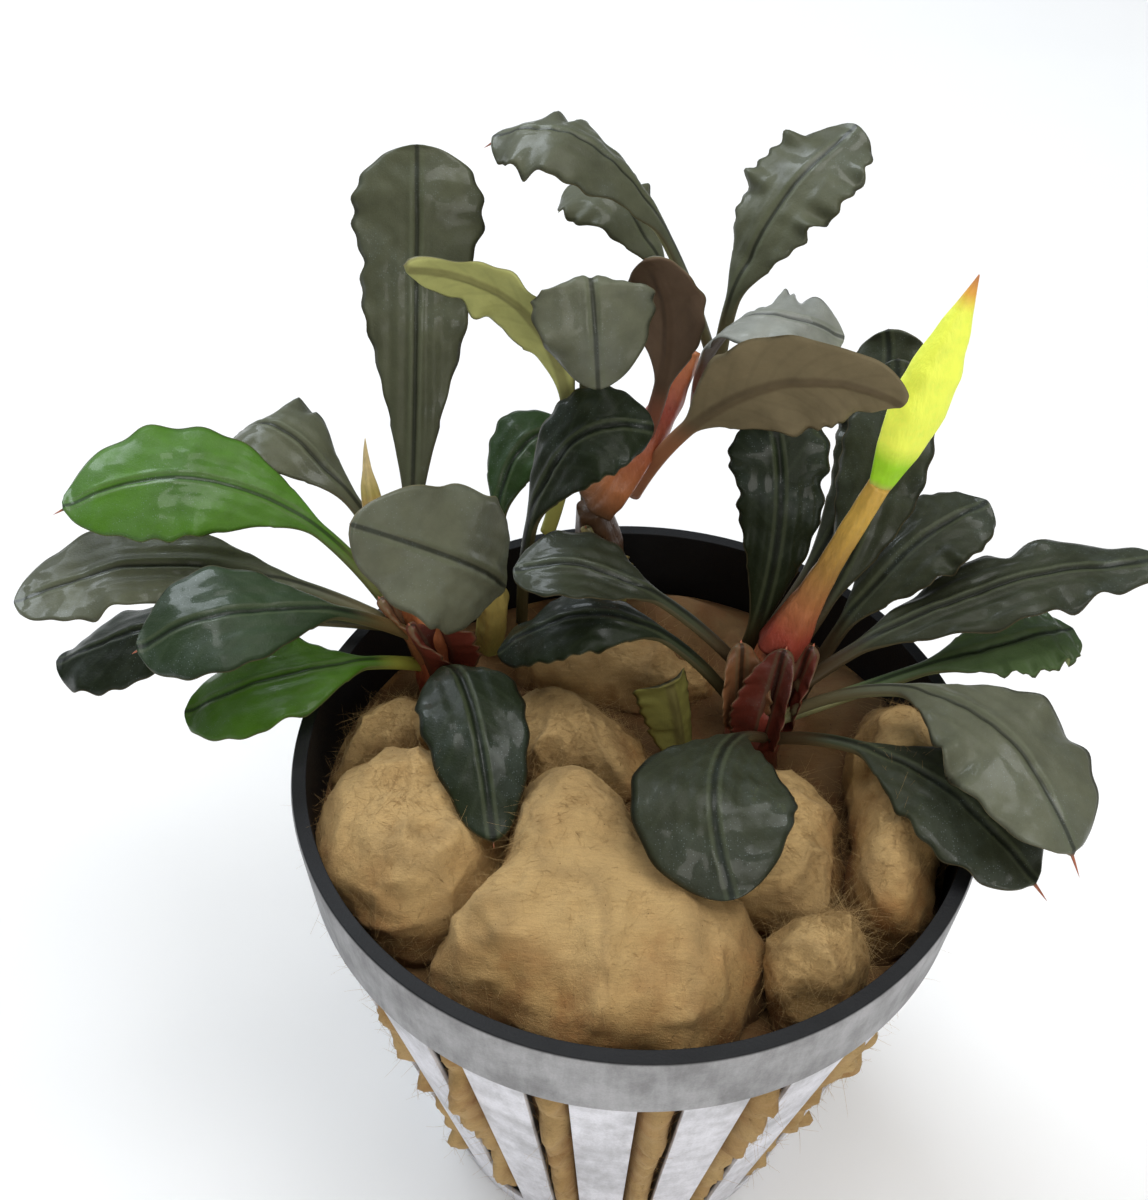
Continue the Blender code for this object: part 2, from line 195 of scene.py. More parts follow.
class Finish:
    """A material with one Principled shader, and the few kinds of node that all of them use."""

    def __init__(self, name):
        self.material = bpy.data.materials.new(name)
        self.material.use_nodes = True
        self.tree = self.material.node_tree
        self.shader = self.tree.nodes["Principled BSDF"]

    def node(self, kind, settings=None, inputs=None, output=0):
        new = self.tree.nodes.new(kind)
        for key, value in (settings or {}).items():
            setattr(new, key, value)
        self.fill(new, inputs or {})
        return Wire(self, new.outputs[output])

    def fill(self, node, inputs):
        for key, value in inputs.items():
            if isinstance(value, Wire):
                self.tree.links.new(value.socket, node.inputs[key])
            else:
                node.inputs[key].default_value = value

    def surface(self, **inputs):
        self.fill(self.shader, {key.replace("_", " "): value for key, value in inputs.items()})
        return self.material

    def attribute(self, name, output="Vector"):
        return self.node("ShaderNodeAttribute", {"attribute_name": name}, output=output)

    def split(self, vector):
        new = self.node("ShaderNodeSeparateXYZ", inputs={0: vector}).socket.node
        return [Wire(self, socket) for socket in new.outputs]

    def place(self, stretch=(1.0, 1.0, 1.0)):
        """The point on the object, in millimetres, drawn out by a factor along each axis."""
        here = self.node("ShaderNodeTexCoord", output="Object")
        scale = [1.0 / (MM * s) for s in stretch]
        return self.node("ShaderNodeVectorMath", {"operation": "MULTIPLY"}, {0: here, 1: scale})

    def noise(self, per_mm, detail=3.0, roughness=0.5, where=None):
        where = where or self.place()
        inputs = {"Vector": where, "Scale": per_mm, "Detail": detail, "Roughness": roughness}
        return self.node("ShaderNodeTexNoise", inputs=inputs)

    def dots(self, per_mm, radius, rarity):
        """Small round dots, one in some of the cells of a Voronoi pattern."""
        inputs = {"Vector": self.place(), "Scale": per_mm}
        cell = self.node("ShaderNodeTexVoronoi", inputs=inputs).socket.node
        distance = Wire(self, cell.outputs["Distance"])
        luck = self.split(Wire(self, cell.outputs["Color"]))[0]
        return self.step(distance, radius, 0.4 * radius) * self.step(luck, rarity, rarity + 0.05)

    def step(self, value, low, high):
        """0 at low, 1 at high and smooth between them; low may be the larger of the two."""
        settings = {"interpolation_type": "SMOOTHSTEP"}
        if low < high:
            return self.node("ShaderNodeMapRange", settings, {0: value, 1: low, 2: high})
        return 1.0 - self.node("ShaderNodeMapRange", settings, {0: value, 1: high, 2: low})

    def mix(self, share, first, second):
        inputs = {0: share, 6: self.colour(first), 7: self.colour(second)}
        return self.node("ShaderNodeMix", {"data_type": "RGBA"}, inputs, output=2)

    def scale(self, colour, amount):
        inputs = {0: colour, "Scale": amount}
        return self.node("ShaderNodeVectorMath", {"operation": "SCALE"}, inputs)

    def bump(self, height, depth_mm, under=None):
        inputs = {"Height": height, "Distance": MM * depth_mm}
        if under:
            inputs["Normal"] = under
        return self.node("ShaderNodeBump", inputs=inputs)

    @staticmethod
    def colour(value):
        return value if isinstance(value, Wire) else (*value, 1.0)


print("finishes ready")

# %% [markdown]
# ## From a grid of points to a closed body
#
# Leaves, stalks and tufts are all one kind of surface: rows of points along the piece, each row
# running once round it. Joining the neighbours gives quads, and each end is drawn in to one point,
# so nothing is left open. The signed volume then says whether the faces point out, and if they
# don't, every face is turned over. The same arrays carry values for the materials, such as how
# far a point is from the midrib.

# %% Closed grids
Shape = namedtuple("Shape", "points quads triangles values")


def outward(shape):
    """The volume inside is the sum of a . (b x c) over the triangles; below zero, faces turn over."""
    a, b, c, d = (shape.points[shape.quads[:, n]] for n in range(4))
    e, f, g = (shape.points[shape.triangles[:, n]] for n in range(3))
    volume = np.sum(a * np.cross(b, c)) + np.sum(a * np.cross(c, d)) + np.sum(e * np.cross(f, g))
    if volume > 0:
        return shape
    return shape._replace(quads=shape.quads[:, ::-1], triangles=shape.triangles[:, ::-1])


def closed_grid(grid, values):
    """Quads between the rows of a grid whose columns run round, and a point at each end."""
    rows, columns = grid.shape[:2]
    last = (rows - 1) * columns

    def with_ends(array):
        return np.vstack([array.reshape(rows * columns, -1), array[0].mean(axis=0), array[-1].mean(axis=0)])

    j = np.arange(columns)
    k = (j + 1) % columns
    start = columns * np.arange(rows - 1)[:, None]
    quads = np.stack([start + j, start + k, start + columns + k, start + columns + j], axis=-1)
    foot = np.stack([k, j, np.full(columns, rows * columns)], axis=-1)
    head = np.stack([last + j, last + k, np.full(columns, rows * columns + 1)], axis=-1)
    kept = {name: with_ends(np.asarray(array)) for name, array in values.items()}
    return outward(Shape(with_ends(grid), quads.reshape(-1, 4), np.vstack([foot, head]), kept))


def join(shapes):
    """Several shapes in one: the numbers of each one's points follow on from the last."""
    starts = np.cumsum([0] + [len(s.points) for s in shapes])
    points = np.vstack([s.points for s in shapes])
    quads = np.vstack([s.quads + n for s, n in zip(shapes, starts)])
    triangles = np.vstack([s.triangles + n for s, n in zip(shapes, starts)])
    values = {name: np.vstack([s.values[name] for s in shapes]) for name in shapes[0].values}
    return Shape(points, quads, triangles, values)


def add_piece(name, shape, material, nodes=()):
    """Puts a shape into a mesh with its material, hangs it on the root body and hides the nodes it stands for."""
    mesh = bpy.data.meshes.new(name)
    corners = np.concatenate([shape.quads.ravel(), shape.triangles.ravel()])
    sizes = np.repeat((4, 3), (len(shape.quads), len(shape.triangles)))
    mesh.vertices.add(len(shape.points))
    mesh.vertices.foreach_set("co", (MM * shape.points).astype(np.float32).ravel())
    mesh.loops.add(len(corners))
    mesh.loops.foreach_set("vertex_index", corners.astype(np.int32))
    mesh.polygons.add(len(sizes))
    mesh.polygons.foreach_set("loop_start", (np.cumsum(sizes) - sizes).astype(np.int32))
    mesh.update(calc_edges=True)
    for key, value in shape.values.items():
        layer = mesh.attributes.new(key, "FLOAT_VECTOR", "POINT")
        layer.data.foreach_set("vector", value.astype(np.float32).ravel())
    mesh.shade_smooth()
    mesh.materials.append(material)
    piece = bpy.data.objects.new(name, mesh)
    bpy.context.scene.collection.objects.link(piece)
    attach(piece, "root")
    if nodes:
        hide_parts(*nodes)
    print(f"{name}: {2 * len(shape.quads) + len(shape.triangles)} triangles")
    return piece


def noise(points, per_mm, seed):
    """Random numbers on a cubic lattice, blended smoothly between the eight corners of the cell
    that holds each point, so the result runs from 0 to 1 without a jump."""
    size = 32
    table = np.random.default_rng(seed).random((size, size, size))
    place = np.asarray(points) * per_mm
    cell = np.floor(place).astype(int)
    part = place - cell
    part = part * part * (3 - 2 * part)
    total = np.zeros(place.shape[:-1])
    for corner in np.ndindex(2, 2, 2):
        weight = np.prod(np.where(corner, part, 1 - part), axis=-1)
        index = (cell + corner) % size
        total += weight * table[index[..., 0], index[..., 1], index[..., 2]]
    return total


# %% [markdown]
# ## The floor
#
# The pot stands on plain white. A disc of points is enough, wide enough to fill the view. It
# isn't part of the object.

# %% Lay the floor
FLOOR_RADIUS = 3000.0
FLOOR_DROP = 0.05


def add_floor():
    finish = Finish("floor_white")
    tone = finish.noise(0.05, 2.0)
    colour = finish.mix(tone, (0.93, 0.93, 0.93), (0.96, 0.96, 0.96))
    material = finish.surface(Base_Color=colour, Roughness=0.9)
    angles = np.linspace(0, 2 * pi, 64, endpoint=False)
    circle = np.column_stack([np.cos(angles), np.sin(angles), np.zeros(64)])
    points = MM * (FLOOR_RADIUS * circle - FLOOR_DROP * UP)
    mesh = bpy.data.meshes.new("floor")
    mesh.from_pydata(points.tolist(), [], [list(range(64))])
    mesh.materials.append(material)
    floor = bpy.data.objects.new("floor", mesh)
    bpy.context.scene.collection.objects.link(floor)


add_floor()

# %% [markdown]
# ## The net pot
#
# The real pot is one thin moulding: a collar on top, twenty ribs with slots between them, and a
# floor. It could be a turned shape with boxes cut out of it. Here the outer and the inner wall are
# two grids with the same columns, and the cells that fall in a slot are simply left out. Wherever
# a cell that stays meets one that is gone, a strip joins the two walls, so the moulding stays
# closed. A small bevel then rounds the edges, as a mould does.

# %% Shape the pot
POT_HEIGHT = 45.0
RIM_RADIUS = 25.0
COLLAR_FOOT = 38.0
COLLAR_RADIUS = 24.5
FOOT_RADIUS = 16.3
WALL = 0.9
POT_FLOOR = 1.2
SLOTS = 20
SLOT_ANGLE = 0.127
SLOT_PHASE = 0.062
SLOT_FOOT = 3.0
SLOT_COLUMNS = 4
RIB_COLUMNS = 9
COLLAR_STEP = 0.25


def wall_radius(height):
    """Outer radius at a height: a steep collar above a longer taper."""
    heights = (0.0, COLLAR_FOOT, POT_HEIGHT)
    return np.interp(height, heights, (FOOT_RADIUS, COLLAR_RADIUS, RIM_RADIUS))


def pot_angles():
    """The columns' angles: in each of the slots some even steps, and on each rib some more."""
    pitch = 2 * pi / SLOTS
    in_slot = np.linspace(-SLOT_ANGLE / 2, SLOT_ANGLE / 2, SLOT_COLUMNS, endpoint=False)
    on_rib = np.linspace(SLOT_ANGLE / 2, pitch - SLOT_ANGLE / 2, RIB_COLUMNS, endpoint=False)
    one = np.concatenate([in_slot, on_rib])
    middles = -pi / 2 + SLOT_PHASE + pitch * np.arange(SLOTS)
    return (middles[:, None] + one[None, :]).ravel()


def pot_shape():
    """Two turned profiles, radius against height, that share their columns and rows."""
    heights = np.concatenate([
        [POT_HEIGHT], np.linspace(44.6, COLLAR_FOOT + 0.2, 8), [COLLAR_FOOT],
        np.linspace(COLLAR_FOOT - 0.3, SLOT_FOOT, 24), [1.6, 0.3, 0.0],
    ])
    outer = wall_radius(heights)
    outer[(heights > COLLAR_FOOT) & (heights < POT_HEIGHT)] += COLLAR_STEP
    outer[heights == POT_HEIGHT] += 0.1
    inner = wall_radius(heights) - WALL
    inner_heights = np.maximum(heights, POT_FLOOR + 0.0 * heights)
    inner_heights[-1] = POT_FLOOR
    rings = (0.66, 0.33)
    outer = np.concatenate([outer, [outer[-1] * r for r in rings]])
    inner = np.concatenate([inner, [inner[-1] * r for r in rings]])
    heights = np.concatenate([heights, [0.0, 0.0]])
    inner_heights = np.concatenate([inner_heights, [POT_FLOOR, POT_FLOOR]])
    angles = pot_angles()
    columns = len(angles)
    rows = len(heights)
    turns = np.column_stack([np.cos(angles), np.sin(angles)])

    def wall(radii, levels):
        flat = radii[:, None, None] * turns[None]
        return np.dstack([flat, np.repeat(levels[:, None], columns, axis=1)])

    outside = wall(outer, heights)
    inside = wall(inner, inner_heights)
    in_slot = np.tile(np.arange(SLOT_COLUMNS + RIB_COLUMNS) < SLOT_COLUMNS, SLOTS)
    middles = (heights[:-1] + heights[1:]) / 2
    level = (middles < COLLAR_FOOT) & (middles > SLOT_FOOT)
    gone = level[:, None] & in_slot[None, :]
    i, j = np.nonzero(~gone)
    k = (j + 1) % columns
    inner_start = rows * columns

    def cell(start, turned_over):
        quad = np.column_stack([i * columns + j, i * columns + k, (i + 1) * columns + k, (i + 1) * columns + j])
        return start + (quad[:, ::-1] if turned_over else quad)

    quads = [cell(0, True), cell(inner_start, False)]
    left_open = gone & ~np.roll(gone, 1, axis=1)
    right_open = gone & ~np.roll(gone, -1, axis=1)
    above_open = gone & ~np.roll(gone, 1, axis=0)
    below_open = gone & ~np.roll(gone, -1, axis=0)
    for mask, first, second in (
        (left_open, (0, 0), (1, 0)), (right_open, (1, 1), (0, 1)),
        (above_open, (0, 1), (0, 0)), (below_open, (1, 0), (1, 1)),
    ):
        row, column = np.nonzero(mask)
        a = (row + first[0]) * columns + (column + first[1]) % columns
        b = (row + second[0]) * columns + (column + second[1]) % columns
        quads.append(np.column_stack([a, b, inner_start + b, inner_start + a]))
    j = np.arange(columns)
    k = (j + 1) % columns
    quads.append(np.column_stack([j, k, inner_start + k, inner_start + j]))
    last = (rows - 1) * columns
    bottom, top = 2 * rows * columns, 2 * rows * columns + 1
    under = np.column_stack([last + k, last + j, np.full(columns, bottom)])
    over = np.column_stack([inner_start + last + j, inner_start + last + k, np.full(columns, top)])
    points = np.vstack([outside.reshape(-1, 3), inside.reshape(-1, 3), [[0, 0, 0], [0, 0, POT_FLOOR]]])
    return Shape(points, np.vstack(quads), np.vstack([under, over]), {})


# %% [markdown]
# The plastic is black on the lip and inside. Outside it is painted a patchy grey, paler on the ribs
# than on the collar and drawn downwards in streaks: a painted sheen that stands for the front light
# on the black plastic. The finish tells the two apart by how far a point is from the pot's axis.

# %% Finish the pot
def pot_finish():
    finish = Finish("pot_plastic")
    x, y, z = finish.split(finish.place())
    radius = finish.node("ShaderNodeVectorMath", {"operation": "LENGTH"},
                         {0: finish.node("ShaderNodeCombineXYZ", inputs={0: x, 1: y})}, output="Value")
    taper = (COLLAR_RADIUS - FOOT_RADIUS) / COLLAR_FOOT
    slope = (RIM_RADIUS - COLLAR_RADIUS) / (POT_HEIGHT - COLLAR_FOOT)
    on_collar = finish.step(z, COLLAR_FOOT - 0.1, COLLAR_FOOT)
    below = FOOT_RADIUS + z * taper
    above = COLLAR_RADIUS + (z - COLLAR_FOOT) * slope
    wall = on_collar * above + (1.0 - on_collar) * below
    outside = finish.step(radius - wall, -0.45, -0.15) * finish.step(z, 44.98, 44.75)
    streaks = finish.noise(1.1, 5.0, 0.65, finish.place((1.0, 1.0, 5.0)))
    patches = finish.noise(0.35, 4.0, 0.6)
    grain = finish.noise(6.0, 2.0, 0.6)
    # painted sheen: patches of grey over the outside, standing for the front light on the black plastic
    sheen_patches = finish.step(0.3 * streaks + 0.4 * patches + 0.3 * finish.noise(0.12, 3.0, 0.5), 0.3, 0.66)
    collar_sheen = finish.mix(sheen_patches, (0.3, 0.3, 0.305), (0.46, 0.46, 0.475))
    # the ribs get a paler painted sheen than the collar
    ribs = finish.mix(sheen_patches, (0.62, 0.62, 0.65), (0.84, 0.84, 0.9))
    grey = finish.mix(on_collar, ribs, collar_sheen)
    grey = finish.scale(grey, 0.8 + 0.4 * grain)
    black = finish.mix(patches, (0.004, 0.004, 0.005), (0.012, 0.013, 0.015))
    # the outside gets the painted sheen grey, the lip and the inside stay black
    colour = finish.mix(outside * (0.72 + 0.28 * sheen_patches), black, grey)
    roughness = 0.42 + 0.12 * outside + 0.2 * grain
    relief = 0.6 * grain + 0.4 * streaks
    return finish.surface(
        Base_Color=colour, Roughness=roughness, Specular_IOR_Level=0.22, Normal=finish.bump(relief, 0.05))


pot = add_piece("pot", pot_shape(), pot_finish(), ("net_pot",))
bevel = pot.modifiers.new("rounded edges", "BEVEL")
bevel.width = 0.12 * MM
bevel.segments = 2
bevel.limit_method = "ANGLE"
bevel.angle_limit = radians(40)
bevel.harden_normals = True

# %% [markdown]
# ## Rockwool
#
# Rockwool is a felt of very fine mineral threads. Damp and pushed into a pot by hand it makes soft
# lumps with dark creases between them. A lump is made from its outline seen from above: the
# outline rises, draws in and rounds over to a crown, and layers of smooth noise push the surface
# in and out along its own normals. The plug inside the pot is a turned body that bulges a little
# wherever a slot lets it.

# %% Shape the rockwool
WAD_FOOT = 37.2
WAD_ROWS = 64
WAD_COLUMNS = 120
WAD_SPREAD = 1.07
Wad = namedtuple("Wad", "name outline top seed lean", defaults=((0.0, 0.0),))

WADS = (
    Wad("left_wad", ((-22.6, -5.6), (-21.2, -1.6), (-15.6, 0.9), (-10.8, -0.2), (-9.8, -5.6), (-11.4, -10.4),
                     (-15, -14.8), (-18.8, -12.4), (-21.4, -9)), 46.4, 3, (-0.6, 1.6)),
    Wad("front_wad", ((-8.2, -6.4), (-6.4, -1.8), (-3.6, -1.6), (-0.4, -4.6), (2.8, -8.4), (6.4, -12.2), (8.6, -13.6),
                      (7.2, -17.4), (6.2, -21.4), (0, -22.6), (-6.4, -21.6), (-11.6, -19), (-14, -16.2),
                      (-12.2, -13.2), (-9.7, -10)), 46.8, 5, (-1.6, 6.4)),
    Wad("wedge_wad", ((9.8, -14.4), (14.8, -12.8), (15.3, -16.6), (10, -20), (8.2, -18.4)), 45.8, 7, (1.4, 1.6)),
    Wad("right_wad", ((16.1, -3), (16.4, 1.6), (18.2, 6), (21, 6.4), (23, 2), (23.3, -4), (21.8, -8.2), (20.4, -11.2),
                      (16.8, -13.4), (15.6, -9)), 47.4, 11, (0.5, 0.5)),
    Wad("inner_wad", ((3.6, -7.6), (6, -0.8), (11, 0.8), (14.8, 0.2), (14.9, -8), (12.4, -12.2), (8, -11.8)), 43.8, 13),
    Wad("middle_wad", ((-9.8, 9), (-3, 8.2), (0.6, 7), (1.2, 1.4), (-2.6, 0), (-7, 0.6), (-9.6, 3.6)), 42.8, 17),
    Wad("back_wad", ((-9.4, 13.4), (-6.6, 17.2), (-1, 17.4), (4, 17), (8, 12), (5.6, 8.8), (0.5, 8.6), (-6, 10)),
        43.6, 19),
    Wad("back_left_wad", ((-22.4, 0.8), (-22, 6), (-18.8, 7.8), (-14.2, 6.8), (-11.2, 3.6), (-12.4, 1), (-16, 2.9),
                          (-20.4, 0.4)), 43.0, 23),
)


def round_outline(corners, count):
    """Cuts every corner of a closed outline four times over, then spaces points evenly along it."""
    points = np.array(corners, float)
    for _ in range(4):
        following = np.roll(points, -1, axis=0)
        pairs = [0.75 * points + 0.25 * following, 0.25 * points + 0.75 * following]
        points = np.stack(pairs, axis=1).reshape(-1, 2)
    closed = np.vstack([points, points[:1]])
    walked = np.concatenate([[0.0], np.cumsum(np.linalg.norm(np.diff(closed, axis=0), axis=1))])
    stops = np.linspace(0.0, walked[-1], count, endpoint=False)
    return np.column_stack([np.interp(stops, walked, closed[:, n]) for n in range(2)])


def grid_normals(grid):
    """The normal at each point is the cross product of the steps to its neighbours on the grid."""
    around = np.roll(grid, -1, axis=1) - np.roll(grid, 1, axis=1)
    along = np.gradient(grid, axis=0)
    return unit(np.cross(around, along) + 1e-9)


def felted(grid, seed, swell):
    """Pushes a grid out and in: broad lumps, then smaller and smaller ones down to a fine nap."""
    normals = grid_normals(grid)
    puffs = np.abs(2 * noise(grid, 0.2, seed + 1) - 1) + 0.4 * np.abs(2 * noise(grid, 0.47, seed + 4) - 1)
    amount = swell * (noise(grid, 0.14, seed) - 0.5) + 1.5 * (puffs ** 0.7 - 0.55)
    amount += 0.3 * (noise(grid, 0.8, seed + 2) - 0.5) + 0.18 * (noise(grid, 2.2, seed + 3) - 0.5)
    return grid + amount[..., None] * normals, normals


def wad_grid(wad):
    """The outline scaled by cos(a)^0.7 and raised by sin(a)^0.8, as a runs from 0 to a right angle.
    The crown leans away from the middle of the outline, by more the higher a row is."""
    outline = round_outline(wad.outline, WAD_COLUMNS)
    centre = outline.mean(axis=0)
    a = np.linspace(0.0, pi / 2, WAD_ROWS) * 0.995
    inward = (np.cos(a) ** 0.7)[:, None, None]
    flat = centre + (1 - inward) * np.array(wad.lean) + WAD_SPREAD * inward * (outline - centre)
    rise = WAD_FOOT + (wad.top - WAD_FOOT) * np.sin(a) ** 0.8
    return np.dstack([flat, np.repeat(rise[:, None], WAD_COLUMNS, axis=1)])


def wad_shape(wad):
    grid, normals = felted(wad_grid(wad), wad.seed, 2.4)
    height = (grid[..., 2] - WAD_FOOT) / (wad.top - WAD_FOOT)
    hollows = np.abs(2 * noise(grid, 0.2, wad.seed + 1) - 1)
    values = np.dstack([height, hollows, np.full(height.shape, wad.seed / 23.0)])
    return closed_grid(grid, {"felt": values}), grid, normals


# %% [markdown]
# The felt is golden over most of it, with tones that differ at random. It is painted cream where it
# is high, a painted highlight on the tops of the lumps, and dark brown low down, in the creases and
# in small dots, as painted shade. Threads show as fine streaks that run one way for a few
# millimetres and then another, so the noise for them is drawn out along a slanted direction.

# %% Finish the rockwool
CREAM = (0.50, 0.335, 0.140)
GOLD = (0.35, 0.200, 0.062)
AMBER = (0.25, 0.110, 0.026)
ORANGE = (0.33, 0.125, 0.022)
UMBER = (0.060, 0.025, 0.008)


def rockwool_finish():
    finish = Finish("rockwool")
    height, hollows, _ = finish.split(finish.attribute("felt"))
    broad = finish.noise(0.13, 3.0, 0.5)
    cloud = finish.noise(0.35, 5.0, 0.62)
    one_way = finish.node("ShaderNodeMapping", inputs={0: finish.place(), 2: (0.5, 0.4, 0.7), 3: (0.5, 4.0, 4.0)})
    other_way = finish.node("ShaderNodeMapping", inputs={0: finish.place(), 2: (0.2, 0.9, 2.1), 3: (0.6, 5.0, 5.0)})
    threads = finish.noise(1.0, 5.0, 0.75, one_way) * 0.5 + finish.noise(1.0, 5.0, 0.75, other_way) * 0.5
    fuzz = finish.noise(9.0, 3.0, 0.7)
    rust = finish.step(finish.noise(0.2, 3.0, 0.6, finish.place((1.0, 1.3, 0.8))), 0.52, 0.68)
    # painted shade: small dark dots that stand for shaded pits in the felt
    pit_shade = finish.dots(1.7, 0.1, 0.7)
    colour = finish.mix(finish.step(cloud, 0.32, 0.58), AMBER, GOLD)
    colour = finish.mix(rust * 0.55, colour, ORANGE)
    # painted highlight: cream where the felt is high, mixed with random tone
    colour = finish.mix(finish.step(broad * 0.6 + height * 0.5 + cloud * 0.2, 0.5, 0.95), colour, CREAM)
    # painted shade: umber low down, in the creases and in the small dots
    painted_shade = finish.step(height, 0.62, 0.05) * 0.95 + finish.step(hollows, 0.2, 0.0) * 0.3
    colour = finish.mix(painted_shade * (0.5 + 0.5 * cloud) + pit_shade * 0.7, colour, UMBER)
    colour = finish.scale(colour, 0.4 + 0.8 * threads + 0.4 * fuzz)
    relief = 0.55 * threads + 0.3 * fuzz + 0.3 * finish.noise(3.0, 4.0, 0.7)
    return finish.surface(Base_Color=colour, Roughness=0.85, Normal=finish.bump(relief, 0.22))


rockwool = rockwool_finish()
wad_surfaces = []
for wad in WADS:
    shape, grid, normals = wad_shape(wad)
    add_piece(wad.name + "_felt", shape, rockwool, (wad.name,))
    wad_surfaces.append((grid, normals))

# %% [markdown]
# The plug fills the pot under the lumps. Its side follows the tapered wall just inside it, and at
# each slot it swells out through the gap in soft steps. Its top is rough and dark, because almost
# no light gets down between the lumps.

# %% Shape the plug
PLUG_FOOT = 1.6
PLUG_EDGE = 38.5
PLUG_GAP = 0.35
PLUG_SQUEEZE = 0.6
MOUNDS = ((4.5, 18.5, 5.0, 5), (-14, 16, 2.2, 5), (18, 10, 3.0, 5), (-1, 12, 1.6, 8), (-20, -6, 1.5, 5))
PLUG_ROWS = 80
PLUG_TOP_ROWS = 26
PLUG_COLUMNS = 360


def plug_shape():
    """Radius against height, plus a swelling cos^2 across each slot, times slow noise."""
    angles = np.linspace(0, 2 * pi, PLUG_COLUMNS, endpoint=False)
    heights = np.linspace(PLUG_FOOT, PLUG_EDGE, PLUG_ROWS)
    radius = wall_radius(heights) - WALL - PLUG_GAP + PLUG_SQUEEZE * ease(heights, 35.5, 37.2)
    pitch = 2 * pi / SLOTS
    offset = (angles - (-pi / 2 + SLOT_PHASE) + pitch / 2) % pitch - pitch / 2
    in_slot = np.cos(np.clip(offset / (0.92 * SLOT_ANGLE), -0.5, 0.5) * pi) ** 0.7
    level = ease(heights, SLOT_FOOT + 0.4, SLOT_FOOT + 2.5) * (1 - ease(heights, 35.5, 37.4))
    circle = np.dstack([np.cos(angles), np.sin(angles), np.zeros(PLUG_COLUMNS)])[0]
    side = radius[:, None, None] * circle[None] + heights[:, None, None] * UP
    lumps = 1.3 * noise(side, 0.35, 41) + 0.7 * np.abs(2 * noise(side, 0.55, 42) - 1) + 0.2 * noise(side, 3.0, 43)
    swell = in_slot[None, :] * level[:, None] * (0.25 + 1.35 * lumps)
    side = side + swell[..., None] * circle[None]
    shrink = np.linspace(1.0, 0.02, PLUG_TOP_ROWS)[1:]
    top = shrink[:, None, None] * (radius[-1] * circle)[None] + PLUG_EDGE * UP
    rough = 1.6 * (noise(top, 0.3, 44) - 0.6) + 0.7 * (noise(top, 1.0, 45) - 0.5)
    for x, y, rise, reach in MOUNDS:
        rough += rise * np.exp(-((top[..., 0] - x) ** 2 + (top[..., 1] - y) ** 2) / reach ** 2)
    top = top + (rough * (1 - shrink[:, None] ** 6))[..., None] * UP
    grid = np.vstack([side, top])
    # painted light: a low value on the plug's side and top paints them in shade, and a higher one where the plug bulges
    # out through a slot paints that felt lighter
    plug_light = np.vstack([0.1 + 0.75 * in_slot[None, :] * np.ones((PLUG_ROWS, 1)), np.full(top.shape[:2], 0.16)])
    values = np.dstack([plug_light + 0.0 * grid[..., 0], np.full(grid.shape[:2], 0.5), np.ones(grid.shape[:2])])
    return closed_grid(grid, {"felt": values}), side


plug, plug_side = plug_shape()
add_piece("rockwool_core", plug, rockwool, ("rockwool_plug",))

# %% [markdown]
# Loose threads lie over all of it. Each thread is a three-sided tube along a short arc that
# starts on the felt and leaves it at a low angle. Thousands of them are worked out as one array
# with an axis for the thread, one for its rings and one for its sides.

# %% Scatter the threads
THREAD_RINGS = 5
THREAD_SIDES = 3
THREADS_PER_WAD = 2600
SLOT_THREADS = 2200


def thread_shape(roots, normals, lengths, thickness, lift, seed):
    """Each thread's middle line is root + s*length*(tangent + lift*normal) + s^2*length*bend."""
    draw = np.random.default_rng(seed)
    count = len(roots)
    drift = draw.normal(size=(count, 3))
    tangent = unit(drift - np.sum(drift * normals, axis=1, keepdims=True) * normals)
    bend = 0.55 * draw.normal(size=(count, 3)) - 0.35 * lift * normals
    s = np.linspace(0.0, 1.0, THREAD_RINGS)[None, :, None]
    reach = lengths[:, None, None]
    line = roots[:, None] + reach * (s * (tangent + lift * normals)[:, None] + s ** 2 * bend[:, None])
    side = np.cross(tangent, normals)[:, None]
    other = normals[:, None]
    a = 2 * pi * np.arange(THREAD_SIDES) / THREAD_SIDES
    ring = np.cos(a)[:, None] * side[..., None, :] + np.sin(a)[:, None] * other[..., None, :]
    taper = (1.0 - 0.6 * s)[..., None]
    grid = line[:, :, None] + thickness * taper * ring
    points = grid.reshape(-1, 3)
    size = THREAD_RINGS * THREAD_SIDES
    j = np.arange(THREAD_SIDES)
    k = (j + 1) % THREAD_SIDES
    start = THREAD_SIDES * np.arange(THREAD_RINGS - 1)[:, None]
    one = np.stack([start + j, start + k, start + THREAD_SIDES + k, start + THREAD_SIDES + j], axis=-1)
    ends = np.array([[2, 1, 0], [size - 3, size - 2, size - 1]])
    first = size * np.arange(count)[:, None, None]
    quads = (first + one.reshape(1, -1, 4)).reshape(-1, 4)
    triangles = (first + ends[None]).reshape(-1, 3)
    tone = np.repeat(draw.random((count, 1)), size, axis=0)
    # painted light: the threads' first value is high, so the finish paints them in its lit tones and leaves out the
    # painted shade of the creases
    values = np.column_stack([0.7 + 0.3 * tone, np.full(len(points), 0.4), tone])
    return outward(Shape(points, quads, triangles, {"felt": values}))


def threads_on(grid, normals, count, seed, rows, lift=0.22):
    """Threads rooted at random points of a grid, between two of its rows."""
    draw = np.random.default_rng(seed)
    i = draw.integers(rows[0], rows[1], count)
    j = draw.integers(0, grid.shape[1], count)
    lengths = draw.uniform(0.5, 1.9, count)
    return thread_shape(grid[i, j], normals[i, j], lengths, 0.013, lift, seed)


